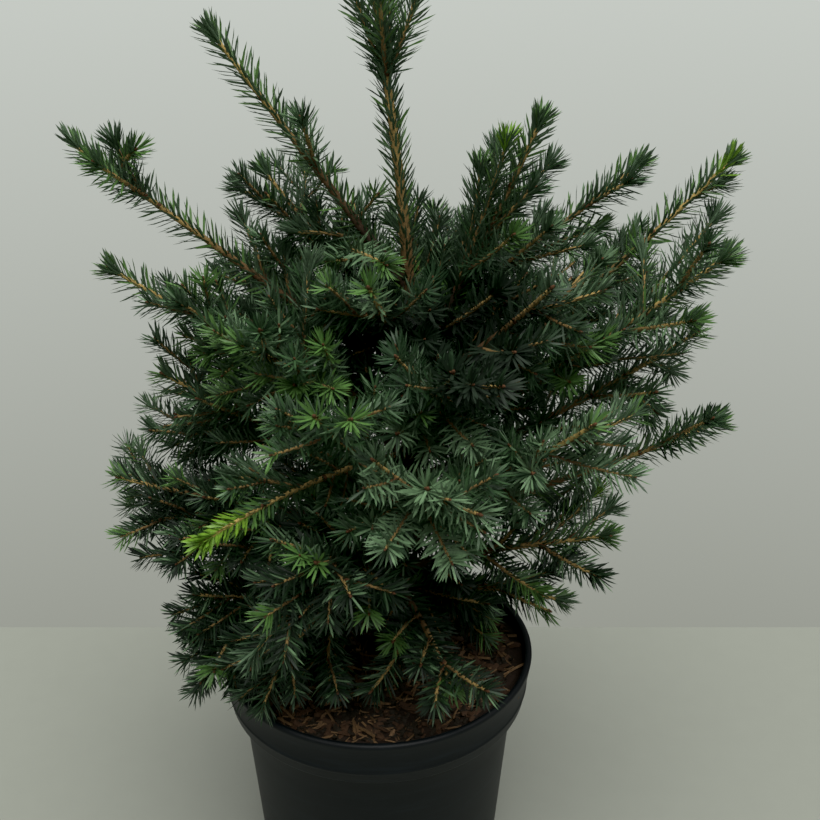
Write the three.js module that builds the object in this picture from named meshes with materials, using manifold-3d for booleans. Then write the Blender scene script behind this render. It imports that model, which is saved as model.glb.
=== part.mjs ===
// Potted Serbian spruce of the upright kind, in a round plastic nursery pot.
// Millimetres, +Z up, origin at the centre of the pot's flat underside.
// +X is the crown's wide side to the right, and -Y faces the viewer.

import * as THREE from 'three';
import { mergeVertices } from 'three/addons/utils/BufferGeometryUtils.js';
import Module from 'manifold-3d';

const wasm = await Module();
wasm.setup();

// Driving dimensions of the pot
const RIM_RADIUS = 95;
const POT_HEIGHT = 155;
const LIP_HEIGHT = 4;
const LIP_BULGE = 1.4;
const LIP_ROUND = 2.6;
const LIP_WIDTH = 2.2;
const COLLAR_RADIUS = 91.5;
const COLLAR_FOOT = 127;
const COLLAR_ROUND = 1.2;
const WALL_TOP_RADIUS = 84;
const WALL_TOP = 120;
const BASE_RADIUS = 75;
const BASE_ROUND = 1.5;
const WALL = 1.6;
const FLOOR = 2.4;
const POT_SIDES = 32;
const DRAIN_HOLES = 8;
const DRAIN_RADIUS = 5;
const DRAIN_CIRCLE = 56;
const DRAIN_SIDES = 10;

// Driving dimensions of the soil and the trunk
const SOIL_EDGE = 146;
const SOIL_SHOULDER = 148;
const SOIL_SHOULDER_RADIUS = 60;
const SOIL_TOP = 150;
const SOIL_FLAT = 14;
const SOIL_INSET = 0.5;
const GAP = 0.3;
const TRUNK_FOOT = SOIL_TOP + GAP;
const TREE_TOP = 550;
const TRUNK_BASE_RADIUS = 6.6;
const TRUNK_TIP_RADIUS = 1.2;
const FLARE = 3.4;
const FLARE_HEIGHT = 9;
const LEAN = 21;
const SWAY = 5;
const TRUNK_RINGS = 12;
const TRUNK_TRIM = 3;
const TRUNK_SIDES = 8;

// Driving dimensions of boughs and shoots
const BOUGH_FOOT_RADIUS = 3.4;
const BOUGH_END_RADIUS = 2.1;
const BOUGH_SIDES = 5;
const BOUGH_STEPS = 4;
const SHOOT_STEPS = 3;
const FIRST_TWIG = 0.1;
const LAST_TWIG = 0.86;
const CLEARANCE = 0.5;
const WELD = 1e-4;

// Driving dimensions of the sprays of needles: every shoot is a slim core
// with whorls of needles that stand out of its sides
const STEM = { sides: 3, footRadius: 2.8, radius: 2.8, tipRadius: 1.7, spacing: 19 };
const TWIG = { sides: 3, footRadius: 0.9, radius: 2.5, tipRadius: 1.6, spacing: 18 };
const NEEDLE_REACH = 12.5;
const NEEDLE_SWEEP = 11;
const NEEDLE_BASE = 4;
const NEEDLE_RADIUS = 1.2;
const WHORL_TURN = 50;
const FEWEST_WHORLS = 2;
const END_REACH = 0.75;
const LAST_SWEEP = 8;

// Leader foliage: a sleeve of needles round the top of the trunk, with a
// ring of steep twigs near its end
const SLEEVE = { sides: 6, footRadius: 5.9, radius: 5.9, tipRadius: 3.5, spacing: 16 };
const SLEEVE_FOOT = 396;
const SLEEVE_TOP = 546;
const SLEEVE_STEPS = 6;
const LEADER_NODE = 492;
const LEADER_TWIGS = 4;
const LEADER_TWIG_BEARING = 170;
const LEADER_TWIG_SPLAY = 26;
const LEADER_TWIG_LENGTH = 42;

// Boughs: foot = height on the trunk, turn = bearing in degrees from +X,
// out and rise = the tip from the foot, bow = arch of the middle, bare =
// share of the way that is bough, twigs = side shoots of its mass, room =
// how far they may stand off. With a bare of 0 the mass meets the trunk.
const BOUGHS = [
  { name: 'top_left', foot: 383, turn: 179, out: 96, rise: 130, bow: 0, bare: 0, twigs: 3, room: 24 },
  { name: 'top_right', foot: 338, turn: -8, out: 64, rise: 134, bow: -6, bare: 0, twigs: 5, room: 42 },
  { name: 'top_back_left', foot: 352, turn: 150, out: 94, rise: 84, bow: -4, bare: 0, twigs: 3, room: 26 },
  { name: 'top_front', foot: 345, turn: -108, out: 66, rise: 58, bow: -4, bare: 0, twigs: 3, room: 34 },
  { name: 'top_back_right', foot: 347, turn: 58, out: 88, rise: 52, bow: -4, bare: 0, twigs: 4, room: 40 },
  { name: 'high_left', foot: 325, turn: 180, out: 172, rise: 134, bow: 0, bare: 0.36, twigs: 4, room: 30 },
  { name: 'high_right', foot: 358, turn: 12, out: 124, rise: 86, bow: -3, bare: 0, twigs: 4, room: 26 },
  { name: 'high_front_right', foot: 322, turn: -46, out: 94, rise: 82, bow: -6, bare: 0, twigs: 4, room: 46 },
  { name: 'far_right', foot: 300, turn: 4, out: 168, rise: 148, bow: -10, bare: 0.42, twigs: 4, room: 32 },
  { name: 'upper_left', foot: 298, turn: -177, out: 157, rise: 97, bow: -4, bare: 0.34, twigs: 5, room: 36 },
  { name: 'upper_front_left', foot: 311, turn: -136, out: 112, rise: 69, bow: -6, bare: 0.34, twigs: 4, room: 52 },
  { name: 'upper_front', foot: 290, turn: -80, out: 112, rise: 88, bow: -6, bare: 0.4, twigs: 4, room: 46 },
  { name: 'right', foot: 283, turn: -13, out: 162, rise: 127, bow: -8, bare: 0.36, twigs: 5, room: 36 },
  { name: 'back_right', foot: 273, turn: 38, out: 142, rise: 95, bow: -6, bare: 0.34, twigs: 5, room: 60 },
  { name: 'back_left', foot: 276, turn: 134, out: 138, rise: 80, bow: -6, bare: 0.34, twigs: 4, room: 60 },
  { name: 'front_shoot', foot: 282, turn: -123, out: 168, rise: 27, bow: 14, bare: 0.5, twigs: 2, room: 26 },
  { name: 'back', foot: 268, turn: 86, out: 142, rise: 76, bow: -5, bare: 0.34, twigs: 4, room: 60 },
  { name: 'front_left', foot: 268, turn: -108, out: 130, rise: 94, bow: -8, bare: 0.4, twigs: 4, room: 50 },
  { name: 'left', foot: 262, turn: -175, out: 132, rise: 74, bow: -5, bare: 0.34, twigs: 4, room: 46 },
  { name: 'mid_right', foot: 262, turn: -3, out: 157, rise: 97, bow: -8, bare: 0.34, twigs: 5, room: 40 },
  { name: 'front', foot: 256, turn: -86, out: 150, rise: 84, bow: -8, bare: 0.42, twigs: 4, room: 50 },
  { name: 'front_right', foot: 245, turn: -43, out: 126, rise: 95, bow: -8, bare: 0.34, twigs: 4, room: 52 },
  { name: 'lower_right', foot: 235, turn: -5, out: 176, rise: 74, bow: -8, bare: 0.34, twigs: 5, room: 40 },
  { name: 'lower_left', foot: 236, turn: -172, out: 158, rise: 42, bow: -8, bare: 0.34, twigs: 5, room: 46 },
  { name: 'lower_front', foot: 226, turn: -106, out: 134, rise: 64, bow: -8, bare: 0.36, twigs: 4, room: 52 },
  { name: 'low_back_right', foot: 214, turn: 52, out: 136, rise: 30, bow: 2, bare: 0.34, twigs: 4, room: 58 },
  { name: 'low_back_left', foot: 210, turn: 122, out: 140, rise: 26, bow: 2, bare: 0.34, twigs: 4, room: 58 },
  { name: 'low_right', foot: 206, turn: -16, out: 124, rise: 42, bow: 4, bare: 0.34, twigs: 4, room: 46 },
  { name: 'drooping_right', foot: 190, turn: 4, out: 106, rise: -12, bow: 12, bare: 0, twigs: 4, room: 40 },
  { name: 'drooping_left', foot: 194, turn: -168, out: 122, rise: -18, bow: 12, bare: 0.3, twigs: 5, room: 44 },
  { name: 'drooping_front_left', foot: 200, turn: -134, out: 108, rise: -8, bow: 12, bare: 0.34, twigs: 5, room: 44 },
  { name: 'drooping_front', foot: 198, turn: -68, out: 90, rise: -16, bow: 14, bare: 0.34, twigs: 5, room: 42 },
];

// Shoots of a mass: how far a twig leans off its stem and how long it is
const SEED = 20;
const SPLAY_LEAST = 36;
const SPLAY_MOST = 56;
const ROLL_MOST = 38;
const TWIG_SHARE_FOOT = 0.6;
const TWIG_SHARE_TIP = 0.3;
const TWIG_SHORTEST = 24;
const TWIG_STRAIGHTENS = 0.35;

// Colours
const CHARCOAL = 0x1e2123;
const BARK_MULCH = 0x4a2f22;
const TRUNK_BARK = 0x6a4a33;
const BOUGH_BARK = 0x7c5636;
const NEEDLE_GREEN = 0x35563f;
const YOUNG_GREEN = 0x6f9a45;

const UP = new THREE.Vector3(0, 0, 1);

// Seeded numbers: a 32-bit congruential generator, even between low and high
function randomStream(seed) {
  let state = seed;
  return (low, high) => {
    state = (state * 1664525 + 1013904223) % 4294967296;
    return low + (high - low) * (state / 4294967296);
  };
}

function mix(from, to, share) {
  return from + (to - from) * share;
}

function radians(degrees) {
  return degrees * Math.PI / 180;
}

// Centre of the trunk at a height: a slight bow to the right and a small sway
function trunkCentre(height) {
  const share = Math.max(height - TRUNK_FOOT, 0) / (TREE_TOP - TRUNK_FOOT);
  const side = LEAN * Math.sin(Math.PI * share ** 0.9);
  const depth = SWAY * Math.sin(2 * Math.PI * share);
  return new THREE.Vector3(side, depth, height);
}

function trunkRadius(height) {
  const share = (height - TRUNK_FOOT) / (TREE_TOP - TRUNK_FOOT);
  const flare = FLARE * Math.exp(-(height - TRUNK_FOOT) / FLARE_HEIGHT);
  return mix(TRUNK_BASE_RADIUS, TRUNK_TIP_RADIUS, share) + flare;
}

// Points along a limb with unit vectors along, across and over it, turned
// as little as the limb's bends allow
function framesAlong(points) {
  const frames = [];
  let across = null;
  points.forEach((point, index) => {
    const before = points[Math.max(index - 1, 0)];
    const after = points[Math.min(index + 1, points.length - 1)];
    const along = after.clone().sub(before).normalize();
    if (across === null) {
      const reference = Math.abs(along.z) > 0.9 ? new THREE.Vector3(1, 0, 0) : UP;
      across = new THREE.Vector3().crossVectors(along, reference);
    }
    across = across.clone().addScaledVector(along, -across.dot(along)).normalize();
    frames.push({ point, along, across, over: new THREE.Vector3().crossVectors(along, across) });
  });
  return frames;
}

// A place off a frame's point: out at a turn round the limb, and forward
function offFrame(frame, turn, outwards, forward) {
  const place = frame.point.clone().addScaledVector(frame.along, forward);
  place.addScaledVector(frame.across, outwards * Math.cos(turn));
  return place.addScaledVector(frame.over, outwards * Math.sin(turn));
}

// Closed skin over rings of as many places each, with flat ends. Where a
// needle's tip is given for a side of a ring, that side is drawn out to it.
function skin(rings, needleTips = new Map()) {
  const sides = rings[0].length;
  const places = rings.flat();
  const faces = [];
  for (let ring = 0; ring + 1 < rings.length; ring += 1) {
    for (let side = 0; side < sides; side += 1) {
      const a = ring * sides + side;
      const b = ring * sides + (side + 1) % sides;
      const tip = needleTips.get(a);
      if (tip) {
        const top = places.push(tip) - 1;
        faces.push(a, b, top, b, b + sides, top, b + sides, a + sides, top, a + sides, a, top);
      } else {
        faces.push(a, b, b + sides, a, b + sides, a + sides);
      }
    }
  }
  const last = (rings.length - 1) * sides;
  for (let side = 1; side + 1 < sides; side += 1) {
    faces.push(0, side + 1, side);
    faces.push(last, last + side, last + side + 1);
  }
  return closedGeometry(places.flatMap((place) => [place.x, place.y, place.z]), faces);
}

// Closed tapering tube through points, with a radius at each
function loft(points, radii, sides) {
  return skin(framesAlong(points).map((frame, index) => Array.from({ length: sides }, (_, side) => (
    offFrame(frame, 2 * Math.PI * side / sides, radii[index], 0)
  ))));
}

function closedGeometry(positions, faces) {
  const geometry = new THREE.BufferGeometry();
  geometry.setAttribute('position', new THREE.Float32BufferAttribute(positions, 3));
  geometry.setIndex(faces);
  return geometry;
}

// A closed geometry as a solid, its corners welded and flat faces dropped
function toSolid(geometry) {
  const bare = geometry.clone();
  bare.deleteAttribute('normal');
  bare.deleteAttribute('uv');
  const welded = mergeVertices(bare, WELD);
  const kept = [];
  const index = welded.getIndex().array;
  for (let at = 0; at < index.length; at += 3) {
    const [a, b, c] = [index[at], index[at + 1], index[at + 2]];
    if (a !== b && b !== c && a !== c) {
      kept.push(a, b, c);
    }
  }
  return new wasm.Manifold(new wasm.Mesh({
    numProp: 3,
    vertProperties: new Float32Array(welded.getAttribute('position').array),
    triVerts: new Uint32Array(kept),
  }));
}

function fromSolid(solid) {
  const mesh = solid.getMesh();
  return closedGeometry([...mesh.vertProperties], [...mesh.triVerts]);
}

// The largest piece of a fused solid: loose scraps go and sealed hollows fill
function largestPiece(solid) {
  const pieces = solid.decompose();
  return pieces.reduce((best, piece) => (piece.volume() > best.volume() ? piece : best));
}

function fuse(geometries) {
  return geometries.map(toSolid).reduce((whole, piece) => whole.add(piece));
}

// Space that is taken: capsules of limbs, shoots and needles, each with an owner
const taken = [];

function segmentGap(startA, endA, startB, endB) {
  const u = endA.clone().sub(startA);
  const v = endB.clone().sub(startB);
  const w = startA.clone().sub(startB);
  const [uu, uv, vv, uw, vw] = [u.dot(u), u.dot(v), v.dot(v), u.dot(w), v.dot(w)];
  const spread = uu * vv - uv * uv;
  let s = spread > 1e-9 ? THREE.MathUtils.clamp((uv * vw - vv * uw) / spread, 0, 1) : 0;
  const t = THREE.MathUtils.clamp((uv * s + vw) / vv, 0, 1);
  s = THREE.MathUtils.clamp((uv * t - uw) / uu, 0, 1);
  return w.addScaledVector(u, s).addScaledVector(v, -t).length();
}

function capsulesOf(points, radii, owner) {
  return points.slice(1).map((point, index) => ({
    start: points[index],
    end: point,
    radius: Math.max(radii[index], radii[index + 1]),
    owner,
  }));
}

function isFree(capsules, excepted) {
  return capsules.every((mine) => taken.every((other) => {
    if (excepted.includes(other.owner)) {
      return true;
    }
    const gap = segmentGap(mine.start, mine.end, other.start, other.end);
    return gap > mine.radius + other.radius + CLEARANCE;
  }));
}

function shootCapsules(shoot) {
  const { radius, tipRadius } = shoot.form;
  const points = curvePoints(shoot.curve, shoot.from, 1, SHOOT_STEPS);
  return capsulesOf(points, taper(radius, tipRadius, SHOOT_STEPS), shoot.owner);
}

// Points of a curve between two shares of its way
function curvePoints(curve, from, to, steps) {
  const points = [];
  for (let step = 0; step <= steps; step += 1) {
    points.push(curve.getPoint(mix(from, to, step / steps)));
  }
  return points;
}

function taper(from, to, steps) {
  return Array.from({ length: steps + 1 }, (_, step) => mix(from, to, step / steps));
}

// Unit vectors along a limb, level across it, and over both
function frameAlong(along) {
  const across = new THREE.Vector3().crossVectors(along, UP).normalize();
  const over = new THREE.Vector3().crossVectors(across, along).normalize();
  return { along, across, over };
}

function boughCurve(bough) {
  const foot = trunkCentre(bough.foot);
  const bearing = radians(bough.turn);
  const outwards = new THREE.Vector3(Math.cos(bearing), Math.sin(bearing), 0);
  const tip = foot.clone().addScaledVector(outwards, bough.out).addScaledVector(UP, bough.rise);
  const { over } = frameAlong(tip.clone().sub(foot).normalize());
  const middle = foot.clone().lerp(tip, 0.5).addScaledVector(over, bough.bow);
  return new THREE.QuadraticBezierCurve3(foot, middle, tip);
}

// A twig that leans off its stem, alternately left and right, and straightens
function growTwig(mass, order) {
  const { draw } = mass;
  const stem = mass.shoots[0];
  const along = mix(FIRST_TWIG, LAST_TWIG, (order + draw(0, 0.8)) / mass.twigs);
  const side = order % 2 === 0 ? 1 : -1;
  const splay = radians(draw(SPLAY_LEAST, SPLAY_MOST));
  const roll = radians(draw(-ROLL_MOST, ROLL_MOST));
  const share = mix(TWIG_SHARE_FOOT, TWIG_SHARE_TIP, along) * draw(0.85, 1.15);
  const at = mix(stem.from, 1, along);
  const foot = stem.curve.getPoint(at);
  const frame = frameAlong(stem.curve.getTangent(at));
  const longest = mass.room / Math.sin(splay);
  const wished = Math.max(stem.curve.getLength() * (1 - stem.from) * share, TWIG_SHORTEST);
  const length = Math.min(wished, longest);
  const lean = frame.across.clone().multiplyScalar(side * Math.cos(roll));
  lean.addScaledVector(frame.over, Math.sin(roll));
  const first = frame.along.clone().multiplyScalar(Math.cos(splay));
  first.addScaledVector(lean, Math.sin(splay));
  const last = first.clone().addScaledVector(frame.along, TWIG_STRAIGHTENS).normalize();
  const middle = foot.clone().addScaledVector(first, length / 2);
  const tip = middle.clone().addScaledVector(last, length / 2);
  return new THREE.QuadraticBezierCurve3(foot, middle, tip);
}

// A spray: a slim core along a shoot, with a whorl of needles at every
// spacing. A needle is left out where anything is in its way.
function sprayGeometry(shoot, draw) {
  const { sides, footRadius, radius, tipRadius, spacing } = shoot.form;
  const length = shoot.curve.getLength() * (1 - shoot.from);
  const whorls = Math.max(Math.round(length / spacing), FEWEST_WHORLS);
  const shares = [0];
  for (let whorl = 0; whorl < whorls; whorl += 1) {
    const share = (whorl + draw(0.35, 0.65)) / whorls;
    shares.push(share, share + NEEDLE_BASE / length);
  }
  shares.push(1);
  const points = shares.map((share) => shoot.curve.getPoint(mix(shoot.from, 1, share)));
  const frames = framesAlong(points);
  const turns = shares.map((_, index) => radians(WHORL_TURN * Math.floor((index + 1) / 2)));
  const start = draw(0, 2 * Math.PI);
  const rings = frames.map((frame, index) => {
    const core = index === 0 ? footRadius : mix(radius, tipRadius, shares[index]);
    return Array.from({ length: sides }, (_, side) => (
      offFrame(frame, start + turns[index] + 2 * Math.PI * side / sides, core, 0)
    ));
  });
  const needleTips = new Map();
  for (let ring = 1; ring + 2 < rings.length; ring += 2) {
    for (let side = 0; side < sides; side += 1) {
      const turn = start + turns[ring] + 2 * Math.PI * (side + 0.5) / sides;
      const sweep = Math.min(NEEDLE_SWEEP, length * (1 - shares[ring]) + LAST_SWEEP);
      const reach = NEEDLE_REACH * mix(1, END_REACH, shares[ring] ** 3) * draw(0.85, 1.1);
      const tip = offFrame(frames[ring], turn, reach, sweep);
      if (claimNeedle(shoot, frames[ring].point, tip)) {
        needleTips.set(ring * sides + side, tip);
      }
    }
  }
  return skin(rings, needleTips);
}

// Takes the space of a needle, from the middle of its shoot to its tip
function claimNeedle(shoot, foot, tip) {
  const capsules = capsulesOf([foot, tip], [NEEDLE_RADIUS, NEEDLE_RADIUS], shoot.owner);
  const free = isFree(capsules, [shoot.owner, shoot.limb]);
  if (free) {
    taken.push(...capsules);
  }
  return free;
}

function material(color, roughness) {
  return new THREE.MeshStandardMaterial({ color, roughness, metalness: 0 });
}

function namedMesh(name, geometry, color, roughness) {
  const mesh = new THREE.Mesh(geometry, material(color, roughness));
  mesh.name = name;
  return mesh;
}

// Pot: one turned shell with a collar under its rim and drain holes in its floor
function potGeometry() {
  const outline = [
    [0, 0],
    [BASE_RADIUS - BASE_ROUND, 0],
    [BASE_RADIUS, BASE_ROUND],
    [WALL_TOP_RADIUS, WALL_TOP],
    [COLLAR_RADIUS - COLLAR_ROUND, COLLAR_FOOT - 2 * COLLAR_ROUND],
    [COLLAR_RADIUS, COLLAR_FOOT],
    [RIM_RADIUS - LIP_BULGE, POT_HEIGHT - LIP_HEIGHT],
    [RIM_RADIUS, POT_HEIGHT - LIP_ROUND],
    [RIM_RADIUS - GAP, POT_HEIGHT],
    [RIM_RADIUS - LIP_WIDTH, POT_HEIGHT],
    [COLLAR_RADIUS - WALL, COLLAR_FOOT + 1],
    [WALL_TOP_RADIUS - WALL, WALL_TOP + 1],
    [BASE_RADIUS - WALL, FLOOR],
    [0, FLOOR],
  ];
  const shell = turned(outline, POT_SIDES);
  const holes = [];
  for (let hole = 0; hole < DRAIN_HOLES; hole += 1) {
    const bearing = 2 * Math.PI * hole / DRAIN_HOLES;
    const cutter = new THREE.CylinderGeometry(DRAIN_RADIUS, DRAIN_RADIUS, 3 * FLOOR, DRAIN_SIDES);
    cutter.rotateX(Math.PI / 2);
    cutter.translate(DRAIN_CIRCLE * Math.cos(bearing), DRAIN_CIRCLE * Math.sin(bearing), 0);
    holes.push(cutter);
  }
  return fromSolid(toSolid(shell).subtract(fuse(holes)));
}

// Soil: fills the pot to just under its rim and rises a little to the trunk
function soilGeometry() {
  const side = WALL + SOIL_INSET;
  const outline = [
    [0, FLOOR + GAP],
    [BASE_RADIUS - side, FLOOR + GAP],
    [WALL_TOP_RADIUS - side, WALL_TOP + 1],
    [COLLAR_RADIUS - side, COLLAR_FOOT + 1 + SOIL_INSET],
    [COLLAR_RADIUS, SOIL_EDGE],
    [SOIL_SHOULDER_RADIUS, SOIL_SHOULDER],
    [SOIL_FLAT, SOIL_TOP],
    [0, SOIL_TOP],
  ];
  return turned(outline, POT_SIDES);
}

function turned(outline, sides) {
  const points = outline.map(([radius, height]) => new THREE.Vector2(radius, height));
  const geometry = new THREE.LatheGeometry(points, sides);
  geometry.rotateX(Math.PI / 2);
  return fromSolid(toSolid(geometry));
}

const tree = new THREE.Group();
tree.name = 'potted_serbian_spruce';
tree.add(namedMesh('pot', potGeometry(), CHARCOAL, 0.5));
tree.add(namedMesh('soil', soilGeometry(), BARK_MULCH, 0.95));

// Trunk, with rings closer together over the root flare, cut level at its foot
const flareTop = TRUNK_FOOT + 3 * FLARE_HEIGHT;
const trunkHeights = [
  ...taper(TRUNK_FOOT - TRUNK_TRIM, flareTop, 3),
  ...taper(flareTop, TREE_TOP, TRUNK_RINGS).slice(1),
];
const trunkPoints = trunkHeights.map(trunkCentre);
const trunkRadii = trunkHeights.map(trunkRadius);
const ground = new THREE.BoxGeometry(60, 60, 4 * TRUNK_TRIM);
ground.translate(0, 0, TRUNK_FOOT - 2 * TRUNK_TRIM);
const trunk = toSolid(loft(trunkPoints, trunkRadii, TRUNK_SIDES)).subtract(toSolid(ground));
const trunkSpace = toSolid(loft(trunkPoints, trunkRadii.map((r) => r + GAP), TRUNK_SIDES));
tree.add(namedMesh('trunk', fromSolid(trunk), TRUNK_BARK, 0.9));
taken.push(...capsulesOf(trunkPoints, trunkRadii, 'trunk'));

// Limbs and stems first, so that every twig grows clear of them
const masses = [];
for (const [index, bough] of BOUGHS.entries()) {
  const curve = boughCurve(bough);
  const gapShare = GAP / curve.getLength();
  const mass = {
    name: `${bough.name}_foliage`,
    twigs: bough.twigs,
    room: bough.room,
    draw: randomStream(SEED + index),
    needleDraw: randomStream(SEED * 100 + index),
    shoots: [],
  };
  if (bough.bare > 0) {
    const limbPoints = curvePoints(curve, 0, bough.bare, BOUGH_STEPS);
    const limbRadii = taper(BOUGH_FOOT_RADIUS, BOUGH_END_RADIUS, BOUGH_STEPS);
    const limb = toSolid(loft(limbPoints, limbRadii, BOUGH_SIDES)).subtract(trunkSpace);
    tree.add(namedMesh(`${bough.name}_bough`, fromSolid(largestPiece(limb)), BOUGH_BARK, 0.9));
    taken.push(...capsulesOf(limbPoints, limbRadii, `${bough.name}_bough`));
  }
  const from = bough.bare > 0 ? bough.bare + gapShare : 0;
  const stem = { curve, from, owner: `${mass.name}_0`, limb: '', form: STEM };
  mass.shoots.push(stem);
  taken.push(...shootCapsules(stem));
  masses.push(mass);
}

// The leader's sleeve, bored out later by the trunk's own space
const sleevePoints = taper(SLEEVE_FOOT, SLEEVE_TOP, SLEEVE_STEPS).map(trunkCentre);
const sleeve = {
  curve: new THREE.CatmullRomCurve3(sleevePoints),
  from: 0,
  owner: 'leader_foliage_0',
  limb: 'trunk',
  form: SLEEVE,
};
const leader = {
  name: 'leader_foliage',
  twigs: 0,
  needleDraw: randomStream(SEED * 100 + BOUGHS.length),
  shoots: [sleeve],
};
taken.push(...shootCapsules(sleeve));
for (let order = 0; order < LEADER_TWIGS; order += 1) {
  const bearing = radians(LEADER_TWIG_BEARING + 360 * order / LEADER_TWIGS);
  const splay = radians(LEADER_TWIG_SPLAY);
  const foot = trunkCentre(LEADER_NODE);
  const lean = new THREE.Vector3(Math.cos(bearing), Math.sin(bearing), 0);
  const middle = foot.clone().addScaledVector(lean, LEADER_TWIG_LENGTH / 2 * Math.sin(splay));
  middle.addScaledVector(UP, LEADER_TWIG_LENGTH / 2 * Math.cos(splay));
  const tip = middle.clone().addScaledVector(lean, LEADER_TWIG_LENGTH / 3 * Math.sin(splay));
  tip.addScaledVector(UP, LEADER_TWIG_LENGTH / 2);
  const curve = new THREE.QuadraticBezierCurve3(foot, middle, tip);
  const twig = { curve, from: 0, owner: `leader_foliage_${order + 1}`, limb: 'trunk', form: TWIG };
  leader.shoots.push(twig);
  taken.push(...shootCapsules(twig));
}

// Then a twig of each mass in turn, skipped where it would touch anything
const mostTwigs = Math.max(...masses.map((mass) => mass.twigs));
for (let order = 0; order < mostTwigs; order += 1) {
  for (const mass of masses.filter((each) => order < each.twigs)) {
    const curve = growTwig(mass, order);
    const twig = { curve, from: 0, owner: `${mass.name}_${order + 1}`, limb: '', form: TWIG };
    const capsules = shootCapsules(twig);
    if (isFree(capsules, [mass.shoots[0].owner])) {
      taken.push(...capsules);
      mass.shoots.push(twig);
    }
  }
}

// Sprays of needles last
masses.push(leader);
for (const mass of masses) {
  const sprays = mass.shoots.map((shoot) => sprayGeometry(shoot, mass.needleDraw));
  const fused = largestPiece(fuse(sprays).subtract(trunkSpace));
  const color = mass.name === 'front_shoot_foliage' ? YOUNG_GREEN : NEEDLE_GREEN;
  tree.add(namedMesh(mass.name, fromSolid(fused), color, 0.75));
}

export default tree;
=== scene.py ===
"""Looks of the potted Serbian spruce: needles, twigs, barked limbs, bark mulch and a plastic pot.

The crown grows by the same seeded rule as the solids do, and is carried on to finer twigs.
Everything is in metres, with the origin under the middle of the pot and -Y towards the viewer.
"""
import math
from functools import cache
from typing import NamedTuple

import bmesh
import bpy
import numpy as np
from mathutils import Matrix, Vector, noise


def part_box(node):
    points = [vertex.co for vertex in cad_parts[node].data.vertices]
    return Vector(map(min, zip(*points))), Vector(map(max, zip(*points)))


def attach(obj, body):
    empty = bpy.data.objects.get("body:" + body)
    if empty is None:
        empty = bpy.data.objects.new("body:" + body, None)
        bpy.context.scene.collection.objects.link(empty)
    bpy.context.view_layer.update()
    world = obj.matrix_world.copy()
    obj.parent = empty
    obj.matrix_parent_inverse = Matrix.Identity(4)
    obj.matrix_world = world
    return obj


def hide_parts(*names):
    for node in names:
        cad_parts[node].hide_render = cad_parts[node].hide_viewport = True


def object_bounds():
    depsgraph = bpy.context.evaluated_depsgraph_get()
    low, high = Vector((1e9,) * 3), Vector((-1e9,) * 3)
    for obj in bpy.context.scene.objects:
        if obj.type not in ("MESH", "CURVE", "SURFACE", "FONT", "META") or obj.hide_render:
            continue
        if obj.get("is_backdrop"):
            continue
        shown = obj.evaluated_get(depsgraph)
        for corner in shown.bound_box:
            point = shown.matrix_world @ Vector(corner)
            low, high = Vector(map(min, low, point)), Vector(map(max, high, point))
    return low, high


bl_info = {
    "name": "Potted Spruce",
    "version": (1, 0, 0),
    "blender": (4, 5, 0),
    "location": "View3D > Sidebar > Spruce",
    "description": "Builds a young spruce in a nursery pot around its solids",
    "category": "Add Mesh",
}

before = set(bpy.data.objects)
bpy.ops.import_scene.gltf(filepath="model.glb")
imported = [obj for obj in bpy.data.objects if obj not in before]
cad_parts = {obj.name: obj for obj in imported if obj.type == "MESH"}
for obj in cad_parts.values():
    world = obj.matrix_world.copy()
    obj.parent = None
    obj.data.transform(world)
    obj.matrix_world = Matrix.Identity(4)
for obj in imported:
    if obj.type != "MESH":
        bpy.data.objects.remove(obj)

UP = np.array((0.0, 0.0, 1.0))
RIM_RADIUS, _, POT_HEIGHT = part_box("pot")[1]
CROWN_LOW, CROWN_HIGH = (np.array(corner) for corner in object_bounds())

# The growth rule's sizes, as in the solids
TRUNK_FOOT = 0.1503
TREE_TOP = 0.550
TRUNK_BASE_RADIUS = 0.0066
TRUNK_TIP_RADIUS = 0.0012
FLARE = 0.0034
FLARE_HEIGHT = 0.009
LEAN = 0.021
SWAY = 0.005
LEAN_POWER = 0.9
TRUNK_RINGS = 12
FLARE_RINGS = 4
TRUNK_TRIM = 0.003
GAP = 0.0003
BOUGH_FOOT_RADIUS = 0.0034
BOUGH_END_RADIUS = 0.0021
BOUGH_STEPS = 4
SHOOT_STEPS = 3
STEM_RADII = (0.0028, 0.0017)
TWIG_RADII = (0.0025, 0.0016)
SLEEVE_RADII = (0.0059, 0.0035)
FIRST_TWIG = 0.1
LAST_TWIG = 0.86
CLEARANCE = 0.0005
SLEEVE_FOOT = 0.396
SLEEVE_TOP = 0.546
LEADER_NODE = 0.492
LEADER_TWIGS = 4
LEADER_TWIG_BEARING = 170
LEADER_TWIG_SPLAY = 26
LEADER_TWIG_LENGTH = 0.042
SEED = 20
STREAM_FACTOR = 1664525
STREAM_STEP = 1013904223
STREAM_RANGE = 2**32
SPLAY_LEAST = 36
SPLAY_MOST = 56
ROLL_MOST = 38
TWIG_SHARE_FOOT = 0.6
TWIG_SHARE_TIP = 0.3
TWIG_SHORTEST = 0.024
TWIG_STAGGER = 0.8
TWIG_LENGTHS = (0.85, 1.15)
TWIG_STRAIGHTENS = 0.35
LENGTH_CHORDS = 200


class Bough(NamedTuple):
    """One limb of the crown, in metres and degrees, with the look of its needles.

    young says how far fresh growth reaches down from its tips, and bushy for what share
    of the limb's reach finer twigs grow.
    """

    name: str
    foot: float
    turn: float
    out: float
    rise: float
    bow: float
    bare: float
    twigs: int
    room: float
    tint: str
    young: float
    bushy: float


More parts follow.
